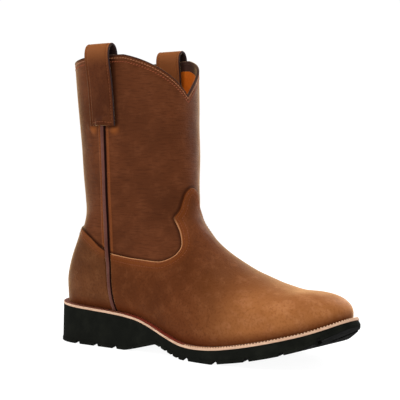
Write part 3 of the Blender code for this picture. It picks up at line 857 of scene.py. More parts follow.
def overlay_face(node):
    """Face of an overlay: rounded edge and two pulled rows."""
    def face(sheet):
        rows = trough(sheet[node + "_edge"], FIRST_ROW, ROW_WIDTH)
        rows = rows + trough(sheet[node + "_edge"], SECOND_ROW, ROW_WIDTH)
        return GAP + OVERLAY * rounded(sheet[node], EDGE_ROUND) - ROW_DEPTH * rows
    return face


overlays = {}
for node in ("vamp", "counter"):
    cuts = [cut_out(sheet, node, EDGE_LEVELS) for sheet in sheets]
    fields = (node + "_edge", "rise")
    piece = panel(node + "_leather", cuts, overlay_face(node), BACK_GAP, fields)
    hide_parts(node)
    overlays[node] = piece

# %% [markdown]
# A strip of piping closes each side seam from the strap down to the welt. It could be a bent
# tube, but the real one is a folded strip that follows every bulge of the leather, so it is a
# panel too: a rounded back part, and a low lip along its front that leaves a narrow groove.

# %% Side seam piping
PIPING_TOP = 210.0
PIPING_LEVELS = (-2.4, -2.1, -1.6, -0.9, -0.1, 0.6, 1.2, 1.6, 1.8, 1.95, 2.2, 2.4)
PIPING_HEIGHT, PIPING_HALF, PIPING_OFFSET = 2.2, 2.2, 0.25
PIPING_FADE, PIPING_FLAT = 9.0, 0.3
LIP_HEIGHT, LIP_ROUND = 0.35, 0.3


def piping_face(sheet):
    """Face of the piping: a round back and a low front lip."""
    s = sheet["seam"]
    across = (s + PIPING_OFFSET) / PIPING_HALF
    round_back = PIPING_HEIGHT * np.clip(1 - across ** 4, 0.0, 1.0) ** 0.5
    below_top = (PIPING_TOP - face_of(sheet)[:, 2]) / PIPING_FADE
    under_strap = np.clip(below_top, PIPING_FLAT, 1.0)
    lip = LIP_HEIGHT * rounded(SEAM_HALF_WIDTH - np.abs(s), LIP_ROUND)
    return GAP + np.maximum(round_back * under_strap, lip)


piping = []
for strip, node in zip(sheets, ("side_seam_outer", "side_seam_inner")):
    for level in (-SEAM_HALF_WIDTH, *PIPING_LEVELS, SEAM_HALF_WIDTH):
        strip = split_along(strip, "seam", level)
    inside = SEAM_HALF_WIDTH - np.abs(strip["seam"])
    inside = np.minimum(inside, PIPING_TOP - face_of(strip)[:, 2])
    strip = cut_out({**strip, "strip": inside}, "strip")
    piece = panel(node + "_piping", [strip], piping_face, BACK_GAP, fields=("seam",))
    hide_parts(node)
    piping.append(piece)

# %% [markdown]
# Inside, a smooth orange lining runs down the whole boot, and a dark facing takes its place
# for the first centimetre below the collar. One piece with two colours would do for a
# picture, but a real facing is sewn in on its own, so both are panels, cut from a coarser
# sheet because nobody sees them closely.

# %% Lining and facing
WALL = 2.2
FACING_DEPTH = 9.0
FACING_GAP = 0.2
inside_layers = (
    ("lining_leather", lambda s: s["collar"] - FACING_DEPTH - FACING_GAP, "insole_leather"),
    ("collar_facing", lambda s: FACING_DEPTH - s["collar"], "shaft_leather"),
)
lining_sheets = [lay_sheet(side, coarse=2) for side in (-1, 1)]
for sheet in lining_sheets:
    face = face_of(sheet)
    sheet["collar"] = collar_height(face) - face[:, 2]
lining_pieces = {}
for name, inside, slot in inside_layers:
    cuts = []
    for sheet in lining_sheets:
        cuts.append(cut_out({**sheet, "layer": inside(sheet)}, "layer"))
    piece = panel(name, cuts, -SKIN - BACK_GAP, -WALL)
    lining_pieces[name] = piece

# %% [markdown]
# A thin dark binding is folded over the top of the shaft. A bevelled curve could follow the
# collar, but its section would twist at the dip. Here a small section of points is carried
# along the edge and always measured out from the leather and down the shaft.

# %% Collar binding
BINDING_COLUMNS = 220
BindingPoint = namedtuple("BindingPoint", "grow below")
BINDING = (
    BindingPoint(0.02, 0.6),
    BindingPoint(0.2, 0.5),
    BindingPoint(0.24, 0.1),
    BindingPoint(0.05, -0.25),
    BindingPoint(-0.5, -0.5),
    BindingPoint(-1.7, -0.5),
    BindingPoint(-2.3, -0.25),
    BindingPoint(-2.5, 0.3),
    BindingPoint(-2.46, 2.6),
    BindingPoint(-2.24, 2.7),
    BindingPoint(-2.22, -0.04),
    BindingPoint(0.02, -0.04),
)

COLLAR_EVEN_SHARE = 0.4


def spread(steps, even_share):
    """Numbers from 0 to 1, closer together towards both ends."""
    even = np.linspace(0.0, 1.0, steps + 1)
    return (1 - even_share) * (1 - np.cos(math.pi * even)) / 2 + even_share * even


def collar_line(columns):
    """Edge of the collar all the way round, with the way up the shaft at each point."""
    t = spread(columns, COLLAR_EVEN_SHARE)
    runs = []
    for side in (-1, 1):
        u = collar_section(t, side)
        runs.append((u, t, np.full(len(t), side)))
    outer, inner = runs
    return [np.concatenate([a, b[::-1][1:-1]]) for a, b in zip(outer, inner)]


def on_collar(u, t, sides, grow, below):
    """Points beside the collar's edge, out by grow and down the shaft by below."""
    points = np.empty((len(u), 3))
    for side in (-1, 1):
        pick = sides == side
        edge = upper_points(u[pick], t[pick], side, grow)
        lower = upper_points(u[pick] - 0.02, t[pick], side, grow)
        down = lower - edge
        down /= np.linalg.norm(down, axis=1, keepdims=True)
        points[pick] = edge + down * below
    return points


def loft(rings, closed=True):
    """Quads between rings of points that all have the same count."""
    count, width = len(rings), len(rings[0])
    faces = []
    for i in range(count if closed else count - 1):
        k = (i + 1) % count
        for j in range(width):
            m = (j + 1) % width
            faces.append((i * width + j, i * width + m, k * width + m, k * width + j))
    return np.concatenate(rings), faces


collar_run = collar_line(BINDING_COLUMNS)
rings = np.stack([on_collar(*collar_run, p.grow, p.below) for p in BINDING], axis=1)
points, faces = loft(list(rings))
binding = dressed("collar_binding", points, faces)
print("collar:", len(collar_run[0]), "columns of binding")

# %% [markdown]
# Each pull strap is a folded strip of leather over the collar, dark on its underside and at
# its cut edges. A curve with a flat bevel could make it, but the real strap lies against the
# round shaft low down and stands almost flat at the top. So its middle line is a short table
# of distance out and height, and its width bends with the shaft.

# %% Path of a strap
STRAP_THICKNESS = 2.2
STRAP_CLEARANCE = 0.6
STRAP_TOP_CONFORM = 0.35
STRAP_OUTSIDE = STRAP_CLEARANCE + STRAP_THICKNESS / 2
STRAP_INSIDE = -WALL - STRAP_CLEARANCE - STRAP_THICKNESS / 2
StrapPoint = namedtuple("StrapPoint", "out height")
STRAP_PATH = (
    StrapPoint(STRAP_OUTSIDE, STRAP_END),
    StrapPoint(STRAP_OUTSIDE, 222.0),
    StrapPoint(2.2, 240.0),
    StrapPoint(3.9, 256.0),
    StrapPoint(4.4, 265.0),
    StrapPoint(2.6, 271.0),
    StrapPoint(-1.2, 273.4),
    StrapPoint(-5.0, 271.0),
    StrapPoint(-6.8, 265.0),
    StrapPoint(-6.2, 256.0),
    StrapPoint(-4.6, 240.0),
    StrapPoint(STRAP_INSIDE, 222.0),
    StrapPoint(STRAP_INSIDE, STRAP_END + 6.0),
)
STRAP_STEPS = 168
SLICE_FIRST_SECTION = 4.0


def shaft_slice(height, side):
    """Level cut through the shaft's face: stations in rising order, and their half widths."""
    t = np.linspace(0.0, 1.0, 61)
    fine = np.linspace(SLICE_FIRST_SECTION, len(UPPER) - 1, 161)
    u, tt = np.meshgrid(fine, t, indexing="ij")
    points = upper_points(u, tt, side, 0.0)
    x = [np.interp(height, points[:, j, 2], points[:, j, 0]) for j in range(len(t))]
    y = [np.interp(height, points[:, j, 2], points[:, j, 1]) for j in range(len(t))]
    return np.array(x)[::-1], np.array(y)[::-1]


def strap_middle(side, reach):
    """Middle sheet of a strap: rows along its path, columns across its width."""
    rows = np.array(STRAP_PATH, dtype=float)
    at = np.linspace(0, len(rows) - 1, STRAP_STEPS + 1)
    out = smooth(np.arange(len(rows)), rows[:, 0], at)
    height = smooth(np.arange(len(rows)), rows[:, 1], at)
    grid = []
    for distance, z in zip(out, height):
        station = SEAM_STATION - STRAP_LEAN * (z - STRAP_END)
        across = station - STRAP_WIDTH / 2 + reach
        stations, halves = shaft_slice(min(z, COLLAR_SIDE), side)
        face = np.abs(np.interp(across, stations, halves))
        middle = abs(np.interp(station, stations, halves))
        low = STRAP_PATH[1].height
        lift = np.clip((z - low) / (COLLAR_SIDE - low), 0.0, 1.0)
        conform = 1 - (1 - STRAP_TOP_CONFORM) * lift
        y = side * (middle + (face - middle) * conform + distance)
        grid.append(np.stack([across, y, np.full_like(across, z)], axis=-1))
    return np.array(grid)


print("strap:", len(STRAP_PATH), "points up, over and down inside")

# %% [markdown]
# The strap's face and back stand off that middle sheet. They close in at the edges, which are
# rounded off, and the rows of thread pull the face down: one along each side and one across
# the lower end, where the strap also bulges over the seam.

# %% Pull straps
STRAP_ROW = 2.9
STRAP_END_ROW = 3.2
STRAP_PULL, STRAP_ROW_WIDTH = 0.6, 0.55
STRAP_END_PULL, STRAP_END_ROW_WIDTH = 0.4, 0.6
STRAP_ROUND = 0.7
STRAP_EDGE_SHARE, STRAP_END_SHARE = 0.25, 0.5
STRAP_BULGE, STRAP_ARCH = 2.6, 0.8
BULGE_WIDTH, BULGE_LENGTH = 6.4, 6.5
STRAP_INSETS = (
    0.0, 0.08, 0.3, 0.7, 1.2, 1.9, 2.4, 2.9, 3.4, 3.9, 5.0, 6.5, 8.0, 9.4, 10.6, 11.7, 12.7, 13.5,
)


def measured(points):
    """Distance along a line at each of its points."""
    steps = np.linalg.norm(np.diff(points, axis=0), axis=1)
    return np.concatenate([[0.0], np.cumsum(steps)])


def strap_profile(reach, length):
    """Half thickness, pull of the thread and bulge, by rows along and columns across."""
    from_edge = np.minimum(reach, STRAP_WIDTH - reach)[None, :]
    from_end = length[:, None]
    either_end = np.minimum(from_end, length[-1] - from_end)
    thin = STRAP_EDGE_SHARE + (1 - STRAP_EDGE_SHARE) * rounded(from_edge, STRAP_ROUND)
    body = STRAP_THICKNESS / 2 * thin * np.ones_like(from_end)
    body = body * (STRAP_END_SHARE + (1 - STRAP_END_SHARE) * rounded(either_end, STRAP_ROUND))
    pulled = STRAP_PULL * trough(from_edge, STRAP_ROW, STRAP_ROW_WIDTH) * np.ones_like(from_end)
    end_pull = STRAP_END_PULL * trough(from_end, STRAP_END_ROW, STRAP_END_ROW_WIDTH)
    pulled = np.maximum(pulled, end_pull * (from_edge > STRAP_ROW))
    bulge = np.exp(-((reach - STRAP_WIDTH / 2) / BULGE_WIDTH) ** 4)[None, :]
    return body, pulled, bulge * np.exp(-(from_end / BULGE_LENGTH) ** 4)


def make_strap(name, side):
    """A strap with rounded cut edges, and its face, normals and length along."""
    inset = np.array(STRAP_INSETS)
    reach = np.concatenate([inset, [STRAP_WIDTH / 2], STRAP_WIDTH - inset[::-1]])
    grid = strap_middle(side, reach)
    normal = np.cross(np.gradient(grid, axis=1), np.gradient(grid, axis=0)) * side
    normal /= np.linalg.norm(normal, axis=-1, keepdims=True)
    if (normal[0, :, 1] * side).sum() < 0:
        normal = -normal
    length = measured(grid[:, len(reach) // 2])
    body, pulled, bulge = strap_profile(reach, length)
    grid = grid + normal * (STRAP_BULGE * bulge)[..., None]
    grid[..., 2] += STRAP_ARCH * bulge
    face = grid + normal * (body - pulled)[..., None]
    back = grid - normal * body[..., None]
    rows, columns = body.shape
    points, faces = loft(list(np.concatenate([face, back[:, ::-1]], axis=1)), closed=False)
    width = 2 * columns
    faces.append(list(range(width))[::-1])
    faces.append([(rows - 1) * width + j for j in range(width)])
    if side > 0:
        faces = [list(f)[::-1] for f in faces]
    edge = np.minimum(reach, STRAP_WIDTH - reach)
    edge = np.tile(np.concatenate([edge, edge[::-1]]), rows)
    # under marks the underside, which the finish paints dark: partly lining, partly painted shade
    under = np.tile(np.repeat([0.0, 1.0], columns), rows)
    piece = dressed(name, points, faces, {"edge": edge, "under": under})
    return piece, {"face": face, "normal": normal, "length": length, "reach": reach}


straps = {}
for side, node in ((-1, "pull_strap_outer"), (1, "pull_strap_inner")):
    piece, shape = make_strap(node + "_leather", side)
    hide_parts(node)
    straps[side] = (piece, shape)
    print(node + ":", round(float(shape["length"][-1]), 1), "mm of strap")

# %% [markdown]
# The welt is a strip of pale leather between the upper and the outsole. A low ledge along its
# top edge takes the welt stitches, which show there as pale teeth. The strip could be a
# bevelled curve, but its corners would fold at the toe. So a section of points, each with its
# own inset, is lofted round the sole's outline.

# %% Welt
WELT_WIDTH = 12.0
WELT_LEDGE = 2.2
RING_STEPS, RING_EVEN_SHARE = 320, 0.25
WELT_CHANNEL = 1.1
WeltPoint = namedtuple("WeltPoint", "inset lift")
WELT_SECTION = (
    WeltPoint(WELT_WIDTH, 0.0),
    WeltPoint(0.4, 0.0),
    WeltPoint(0.1, 0.12),
    WeltPoint(0.0, 0.45),
    WeltPoint(0.0, 1.75),
    WeltPoint(0.1, 2.05),
    WeltPoint(0.4, WELT_LEDGE),
    WeltPoint(WELT_CHANNEL, 2.1),
    WeltPoint(1.8, WELT_LEDGE),
    WeltPoint(2.2, 2.5),
    WeltPoint(2.8, WELT_THICKNESS),
    WeltPoint(WELT_WIDTH, WELT_THICKNESS),
)


def sole_outline(inset):
    """Points round the sole's outline, heel end first, outer side then inner side."""
    s = inset + (SOLE_LENGTH - 2 * inset) * spread(RING_STEPS, RING_EVEN_SHARE)
    outer, inner = plan_edges(s, inset)
    return np.concatenate([
        np.stack([s, outer], axis=-1), np.stack([s, inner], axis=-1)[1:-1][::-1]
    ])


rings = []
for row in WELT_SECTION:
    flat = sole_outline(row.inset)
    height = sole_top(np.clip(flat[:, 0], 0.0, SOLE_LENGTH)) + GAP + row.lift
    rings.append(np.column_stack([flat, height]))
points, faces = loft(rings)
inset = np.repeat([row.inset for row in WELT_SECTION], len(rings[0]))
welt = dressed("welt_strip", points, faces, {"inset": inset})
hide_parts("welt")
print("welt:", len(points), "points")

# %% [markdown]
# The outsole is one moulded rubber unit with a tread. Its grooves could be cut by booleans,
# but then the walls would need repair where the grooves run out. Here a height is added to
# the underside instead, and it also notches the bottom edge of the walls. Grooves run in and
# back from the walls, and a plain band is left along the middle.

# %% Tread
GROOVE_WIDTH = 4.0
GROOVE_DEPTH = 2.6
GROOVE_CENTRE_BAND = 9.0
GROOVE_SLANT = math.radians(25.0)
GROOVE_REACH = 60.0
HEEL_GROOVES = (39.6, 62.5, 85.6)
FOREFOOT_GROOVES = (171.1, 202.1, 233.6, 265.6, 298.0)
SHANK_RIBS = (143.0, 151.0, 158.5, 166.0)
RIB_GAP_WIDTH = 2.4
RIB_GAP_DEPTH = 1.3
GROOVE_END = 0.8
SLOT_WALL = 0.5


def slot_cut(distance, width):
    """1 inside a slot and 0 outside it, with steep walls."""
    return np.clip((width / 2 - np.abs(distance)) / SLOT_WALL + 0.5, 0.0, 1.0)


def tread_cut(x, y):
    """Height by which the tread grooves and the shank's ribs raise the underside."""
    band = np.clip((np.abs(y) - GROOVE_CENTRE_BAND) / GROOVE_END, 0.0, 1.0)
    height = np.zeros_like(x)
    for station in HEEL_GROOVES + FOREFOOT_GROOVES:
        out = np.abs(y) - GROOVE_CENTRE_BAND - GROOVE_REACH / 2
        off = (x - station) * math.cos(GROOVE_SLANT) - out * math.sin(GROOVE_SLANT)
        height = np.maximum(height, GROOVE_DEPTH * slot_cut(off, GROOVE_WIDTH) * band)
    for station in SHANK_RIBS:
        height = np.maximum(height, RIB_GAP_DEPTH * slot_cut(x - station, RIB_GAP_WIDTH))
    return height


print("tread:", len(HEEL_GROOVES), "heel grooves and", len(FOREFOOT_GROOVES), "forefoot grooves")

# %% [markdown]
# Each cross section of the outsole is a closed loop: under the tread from side to side, up one
# wall, over the top and down the other. A short table gives the wall from the bottom edge up,
# with a low rib at its foot. Its heights start from the cut tread, from the plain underside,
# from a share of the wall, or from the top.

# %% Outsole
SOLE_FLARE = 1.2
RIB_HEIGHT = 3.2
RIB_STEP = 0.5
RIB_TOP = RIB_HEIGHT + 0.5
NOTCH_RIM = 0.45
SOLE_ROWS, SOLE_EVEN_SHARE = 620, 0.7
TREAD_COLUMNS = 30
WallPoint = namedtuple("WallPoint", "inset base lift")
WALL_SECTION = (
    WallPoint(0.35 - SOLE_FLARE, "tread", 0.0),
    WallPoint(0.1 - SOLE_FLARE, "tread", 0.12),
    WallPoint(-SOLE_FLARE, "tread", 0.4),
    WallPoint(-SOLE_FLARE, "wall", RIB_HEIGHT - 0.4),
    WallPoint(0.12 - SOLE_FLARE, "wall", RIB_HEIGHT - 0.05),
    WallPoint(0.45 - SOLE_FLARE, "wall", RIB_HEIGHT + 0.12),
    WallPoint(RIB_STEP - SOLE_FLARE, "wall", RIB_TOP),
    WallPoint(-0.35, "share", 0.55),
    WallPoint(0.0, "top", -0.5),
    WallPoint(0.12, "top", -0.12),
    WallPoint(0.4, "top", 0.0),
)


def wall_lines(row):
    """Lines of one wall point along both sides of the sole, outer side first."""
    x = row.inset + (SOLE_LENGTH - 2 * row.inset) * spread(SOLE_ROWS, SOLE_EVEN_SHARE)
    at = np.clip(x, 0.0, SOLE_LENGTH)
    bottom, top = sole_bottom(at), sole_top(at)
    pair = []
    for y in plan_edges(x, row.inset):
        cut = tread_cut(x, y)
        height = {
            "tread": bottom + cut + row.lift,
            "wall": np.maximum(bottom + row.lift, bottom + cut + NOTCH_RIM),
            "share": bottom + RIB_TOP + (top - bottom - RIB_TOP) * row.lift,
            "top": top + row.lift,
        }[row.base]
        pair.append(np.stack([x, y, height], axis=-1))
    return pair


def sole_loop():
    """Lines along the sole in the order of its loop: tread, inner wall, top, outer wall."""
    walls = [wall_lines(row) for row in WALL_SECTION]
    outer, inner = walls[0]
    tread = []
    for share in np.linspace(0.0, 1.0, TREAD_COLUMNS + 1)[1:-1]:
        flat = outer + (inner - outer) * share
        at = np.clip(flat[:, 0], 0.0, SOLE_LENGTH)
        flat[:, 2] = sole_bottom(at) + tread_cut(flat[:, 0], flat[:, 1])
        tread.append(flat)
    outer, inner = walls[-1]
    top = [outer + (inner - outer) * share for share in (0.75, 0.5, 0.25)]
    return tread + [pair[1] for pair in walls] + top + [pair[0] for pair in walls[::-1]]


def weld(points, faces):
    """Join points that coincide, and drop faces that close up."""
    first, place = joined(points, 4)
    kept = []
    for face in faces:
        corners = list(dict.fromkeys(place[list(face)]))
        if len(corners) > 2:
            kept.append(corners)
    return points[first], kept


loop = np.array(sole_loop())
points, faces = loft(list(loop.transpose(1, 0, 2)), closed=False)
points, faces = weld(points, faces)
outsole = dressed("outsole_rubber", points, faces, sharp=35.0)
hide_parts("outsole")
print("outsole:", len(faces), "faces")

# %% [markdown]
# Thread shows everywhere on a work boot. A stitch is a short round bead that dips into the
# leather at both ends. Copies of one object could be set along a curve, but a thousand
# objects are slow. So all the stitches of a row are one mesh, made from arrays: the same bead
# is laid at even steps along a line, turned to the line and to the leather's face.

# %% A row of stitches
BeadRing = namedtuple("BeadRing", "along radius sink")
BEAD = (
    BeadRing(-0.5, 0.25, -0.7),
    BeadRing(-0.4, 0.75, -0.2),
    BeadRing(-0.18, 1.0, 0.2),
    BeadRing(0.18, 1.0, 0.2),
    BeadRing(0.4, 0.75, -0.2),
    BeadRing(0.5, 0.25, -0.7),
)
BEAD_SIDES = 6
BEAD_STEP = 0.4
Stitch = namedtuple("Stitch", "pitch length radius slant", defaults=(0.0,))


def lay_beads(points, normals, stitch):
    """Middle, direction and upward direction of each bead along one line."""
    run = measured(points)
    at = np.arange(stitch.pitch / 2, run[-1], stitch.pitch)

    def along(values, where):
        return np.stack([np.interp(where, run, values[:, k]) for k in range(3)], axis=-1)

    up = along(normals, at)
    up /= np.linalg.norm(up, axis=1, keepdims=True)
    ahead = along(points, at + BEAD_STEP) - along(points, at - BEAD_STEP)
    ahead -= up * (ahead * up).sum(1, keepdims=True)
    ahead /= np.linalg.norm(ahead, axis=1, keepdims=True) + 1e-9
    turned = math.cos(stitch.slant) * ahead + math.sin(stitch.slant) * np.cross(up, ahead)
    return along(points, at), turned, up


threads = []


def sew(name, rows, stitch):
    """Beads of thread along rows of points and normals, as one piece."""
    laid = [lay_beads(points, normals, stitch) for points, normals in rows]
    middle, ahead, up = (np.concatenate(a) for a in zip(*laid))
    across = np.cross(up, ahead)
    rings = []
    for ring in BEAD:
        centre = middle + ahead * ring.along * stitch.length + up * ring.sink * stitch.radius
        for angle in np.linspace(0, 2 * math.pi, BEAD_SIDES, endpoint=False):
            spoke = across * math.cos(angle) + up * math.sin(angle)
            rings.append(centre + spoke * stitch.radius * ring.radius)
    each = len(rings)
    _, bead = loft(np.zeros((len(BEAD), BEAD_SIDES, 3)), closed=False)
    bead.append(tuple(range(BEAD_SIDES))[::-1])
    bead.append(tuple(range(each - BEAD_SIDES, each)))
    faces = [tuple(c + k * each for c in face) for k in range(len(middle)) for face in bead]
    piece = dressed(name, np.stack(rings, axis=1).reshape(-1, 3), faces, sharp=80.0)
    threads.append(piece)
    print(name + ":", len(middle), "stitches")

# %% [markdown]
# On the panels, a row runs along one level of a field, such as 2.4 millimetres inside the
# edge of the vamp. So the line is found on the sheet and laid on the creased leather, and no
# row has to be drawn by hand.

# %% Stitches on the panels
PANEL_STITCH = Stitch(2.7, 2.3, 0.34)
COLLAR_STITCHES = {
    "upper": Stitch(2.6, 2.2, 0.34, math.radians(12.0)),
    "lower": Stitch(2.6, 2.2, 0.34, math.radians(32.0)),
}
COLLAR_SINK = 0.15
ROW_MARGIN, COLLAR_MARGIN = 0.8, 0.5
SEAM_ROW_START, SEAM_ROW_OVERLAP = 2.0, 3.0


def rows_on(field, level, grow, keep):
    """Rows along a level of a field on both halves, with their normals."""
    rows = []
    for sheet in sheets:
        for line in level_lines(sheet, field, level, keep(sheet)):
            u, t = line[:, 0], line[:, 1]
            points = leather(u, t, sheet["side"], grow)
            normals = leather(u, t, sheet["side"], grow + 0.5) - points
            rows.append((points, normals))
    return rows


overlay_top = GAP + OVERLAY - ROW_DEPTH
for node in overlays:
    rows = []
    for level in (FIRST_ROW, SECOND_ROW):
        rows += rows_on(node + "_edge", level, overlay_top, lambda s: s[node] > ROW_MARGIN)
    sew(node + "_stitches", rows, PANEL_STITCH)

for level, (name, stitch) in zip(COLLAR_ROWS, COLLAR_STITCHES.items()):
    rows = rows_on("collar", level, -COLLAR_SINK, lambda s: s["collar"] > COLLAR_MARGIN)
    sew("collar_stitches_" + name, rows, stitch)


def below_strap(edge_field):
    """Points above an overlay's edge and below the strap's end."""
    def keep(sheet):
        below = face_of(sheet)[:, 2] < STRAP_END + SEAM_ROW_OVERLAP
        return (sheet[edge_field] < -SEAM_ROW_START) & below
    return keep


rows = rows_on("seam", BACK_RIDGE, RIDGE_HEIGHT, below_strap("counter_edge"))
rows += rows_on("seam", FRONT_RIDGE, RIDGE_HEIGHT, below_strap("vamp_edge"))
sew("seam_stitches", rows, PANEL_STITCH)

# %% [markdown]
# The straps and the welt have no sheet, so their rows come from the points they were made
# of: two columns and one line of a strap's face, and the outline of the sole moved in to the
# welt's ledge. Thread on the welt is thick, and shows only from the shank forward.

# %% Stitches on the straps and the welt
WELT_STITCH = Stitch(2.8, 1.5, 0.72)
WELT_STITCH_FROM = 172.0
for side, (piece, shape) in straps.items():
    rows = []
    face, normal, length = shape["face"], shape["normal"], shape["length"]
    sewn = (length > STRAP_END_ROW) & (length < length[-1] - STRAP_END_ROW)
    for reach in (STRAP_ROW, STRAP_WIDTH - STRAP_ROW):
        j = int(np.argmin(np.abs(shape["reach"] - reach)))
        rows.append((face[sewn, j], normal[sewn, j]))
    middle = (shape["reach"] > STRAP_ROW) & (shape["reach"] < STRAP_WIDTH - STRAP_ROW)
    i = int(np.argmin(np.abs(length - STRAP_END_ROW)))
    rows.append((face[i, middle], normal[i, middle]))
    name = "strap_stitches_outer" if side < 0 else "strap_stitches_inner"
    sew(name, rows, PANEL_STITCH)

flat = sole_outline(WELT_CHANNEL)
flat = flat[flat[:, 0] > WELT_STITCH_FROM]
welt_line = np.column_stack([flat, sole_top(flat[:, 0]) + GAP + WELT_LEDGE])
upright = np.tile([0.0, 0.0, 1.0], (len(flat), 1))
sew("welt_stitches", [(welt_line, upright)], WELT_STITCH)

# %% [markdown]
# Now the finishes. A painted image would need a flat pattern for every piece, so each finish
# is a node tree made by a short function instead. Colours are written as they look on a
# screen and turned into light. A share, from 0 to 1, says how much of one colour lies over
# another.

# %% Node helpers
def screen(red, green, blue):
    """A screen colour, 0 to 255, as linear light."""
    def linear(c):
        c = c / 255
        return c / 12.92 if c <= 0.04045 else ((c + 0.055) / 1.055) ** 2.4
    return (linear(red), linear(green), linear(blue), 1.0)


def add(tree, kind, inputs=None, **settings):
    """A new node, with its settings, and its sockets given as links or values."""
    node = tree.nodes.new(kind)
    for name, value in settings.items():
        setattr(node, name, value)
    for socket, value in (inputs or {}).items():
        if isinstance(value, bpy.types.NodeSocket):
            tree.links.new(value, node.inputs[socket])
        else:
            node.inputs[socket].default_value = value
    return node


def new_finish(name):
    """An empty material with a surface shader, and its object coordinates."""
    made = bpy.data.materials.new(name)
    made.use_nodes = True
    tree = made.node_tree
    shader = tree.nodes["Principled BSDF"]
    coordinates = add(tree, "ShaderNodeTexCoord").outputs["Object"]
    return made, tree, shader, coordinates


def noise(tree, where, scale, detail=4.0, roughness=0.6, stretch=None):
    """Noise over the object, in features of about one metre over the scale."""
    if stretch:
        where = add(tree, "ShaderNodeMapping", {"Vector": where, "Scale": stretch}).outputs[0]
    return add(tree, "ShaderNodeTexNoise", {
        "Vector": where, "Scale": scale, "Detail": detail, "Roughness": roughness,
    }).outputs["Fac"]


def span(tree, value, low, high, to_low=0.0, to_high=1.0):
    """A value moved from one range to another and held inside it, with soft ends."""
    return add(tree, "ShaderNodeMapRange", {
        "Value": value, "From Min": low, "From Max": high, "To Min": to_low, "To Max": to_high,
    }, interpolation_type="SMOOTHSTEP").outputs["Result"]


def tint(tree, share, under, over):
    """One colour laid over another by a share."""
    sockets = {0: share, 6: under, 7: over}
    return add(tree, "ShaderNodeMix", sockets, data_type="RGBA").outputs[2]


def attribute(tree, field):
    """A field that a piece carries, in millimetres."""
    return add(tree, "ShaderNodeAttribute", attribute_name=field).outputs["Fac"]


def relief(tree, shader, height, strength, distance, after=None):
    """Bump from a height, after another bump if there is one."""
    inputs = {"Height": height, "Strength": strength, "Distance": distance}
    if after is not None:
        inputs["Normal"] = after
    normal = add(tree, "ShaderNodeBump", inputs).outputs["Normal"]
    tree.links.new(normal, shader.inputs["Normal"])
    return normal


def axis(tree, where, name):
    """One coordinate of a place or a direction."""
    return add(tree, "ShaderNodeSeparateXYZ", {0: where}).outputs[name]


def combine(tree, operation, one, other=0.0):
    """Two values put together by an operation, or one value changed by it."""
    return add(tree, "ShaderNodeMath", {0: one, 1: other}, operation=operation).outputs[0]


def show_colour(made, colour):
    """Send a finished colour to the surface, and give the material back."""
    tree = made.node_tree
    tree.links.new(colour, tree.nodes["Principled BSDF"].inputs["Base Color"])
    return made


print("mid brown as light:", [round(c, 3) for c in screen(96, 51, 25)])

# %% [markdown]
# Oiled leather goes darker where oil gathers and paler where it was pulled or rubbed. Noise of
# three sizes gives its clouds, its mottle and its grain, and the same grain drives the bump,
# so light catches on it. Real grain could be modelled, but it is finer than any mesh. Nap
# shows as a warm sheen where the leather turns away.

# %% Leather
Tones = namedtuple("Tones", "deep body pulled")
Grain = namedtuple("Grain", "scale depth")
SHAFT_GRAIN = Grain(300.0, 0.0007)
SMOOTH_GRAIN = Grain(520.0, 0.0004)
PORES_PER_GRAIN = 1.6
TOE_TURN = (0.012, 0.122)
LEATHER_SHINE = 0.015
NAP_COLOUR = screen(240, 198, 142)


def leather_finish(name, tones, grain, stretch=None, toe_burnish_and_light=None):
    """Oiled leather: clouds, mottle, grain bump and uneven gloss."""
    made, tree, shader, where = new_finish(name)
    # towards the toe the tones turn golden: partly burnished leather, partly painted light from above
    if toe_burnish_and_light:
        share = span(tree, axis(tree, where, "X"), *TOE_TURN)
        tones = Tones(*(tint(tree, share, a, b) for a, b in zip(tones, toe_burnish_and_light)))
    clouds = span(tree, noise(tree, where, 22.0, 2.0, 0.4), 0.34, 0.66, 0.42, 0.93)
    colour = tint(tree, clouds, tones.deep, tones.body)
    mottle = span(tree, noise(tree, where, 90.0, 4.0, 0.6), 0.45, 0.7, 0.0, 0.3)
    colour = tint(tree, mottle, colour, tones.pulled)
    fine = noise(tree, where, grain.scale, 5.0, 0.6, stretch)
    colour = tint(tree, span(tree, fine, 0.3, 0.55, 0.5, 0.0), colour, tones.deep)
    shader.inputs["Specular IOR Level"].default_value = LEATHER_SHINE
    turned = add(tree, "ShaderNodeLayerWeight", {"Blend": 0.5}).outputs["Facing"]
    tree.links.new(span(tree, turned, 0.4, 0.9, 0.06, 0.75), shader.inputs["Sheen Weight"])
    shader.inputs["Sheen Roughness"].default_value = 0.3
    shader.inputs["Sheen Tint"].default_value = NAP_COLOUR
    gloss = span(tree, noise(tree, where, 60.0), 0.3, 0.7, 0.43, 0.59)
    tree.links.new(gloss, shader.inputs["Roughness"])
    pores = add(tree, "ShaderNodeTexVoronoi", {
        "Vector": where, "Scale": grain.scale * PORES_PER_GRAIN,
    }).outputs["Distance"]
    normal = relief(tree, shader, pores, 0.25, grain.depth * 0.5)
    relief(tree, shader, fine, 0.6, grain.depth, normal)
    return made, tree, where, colour
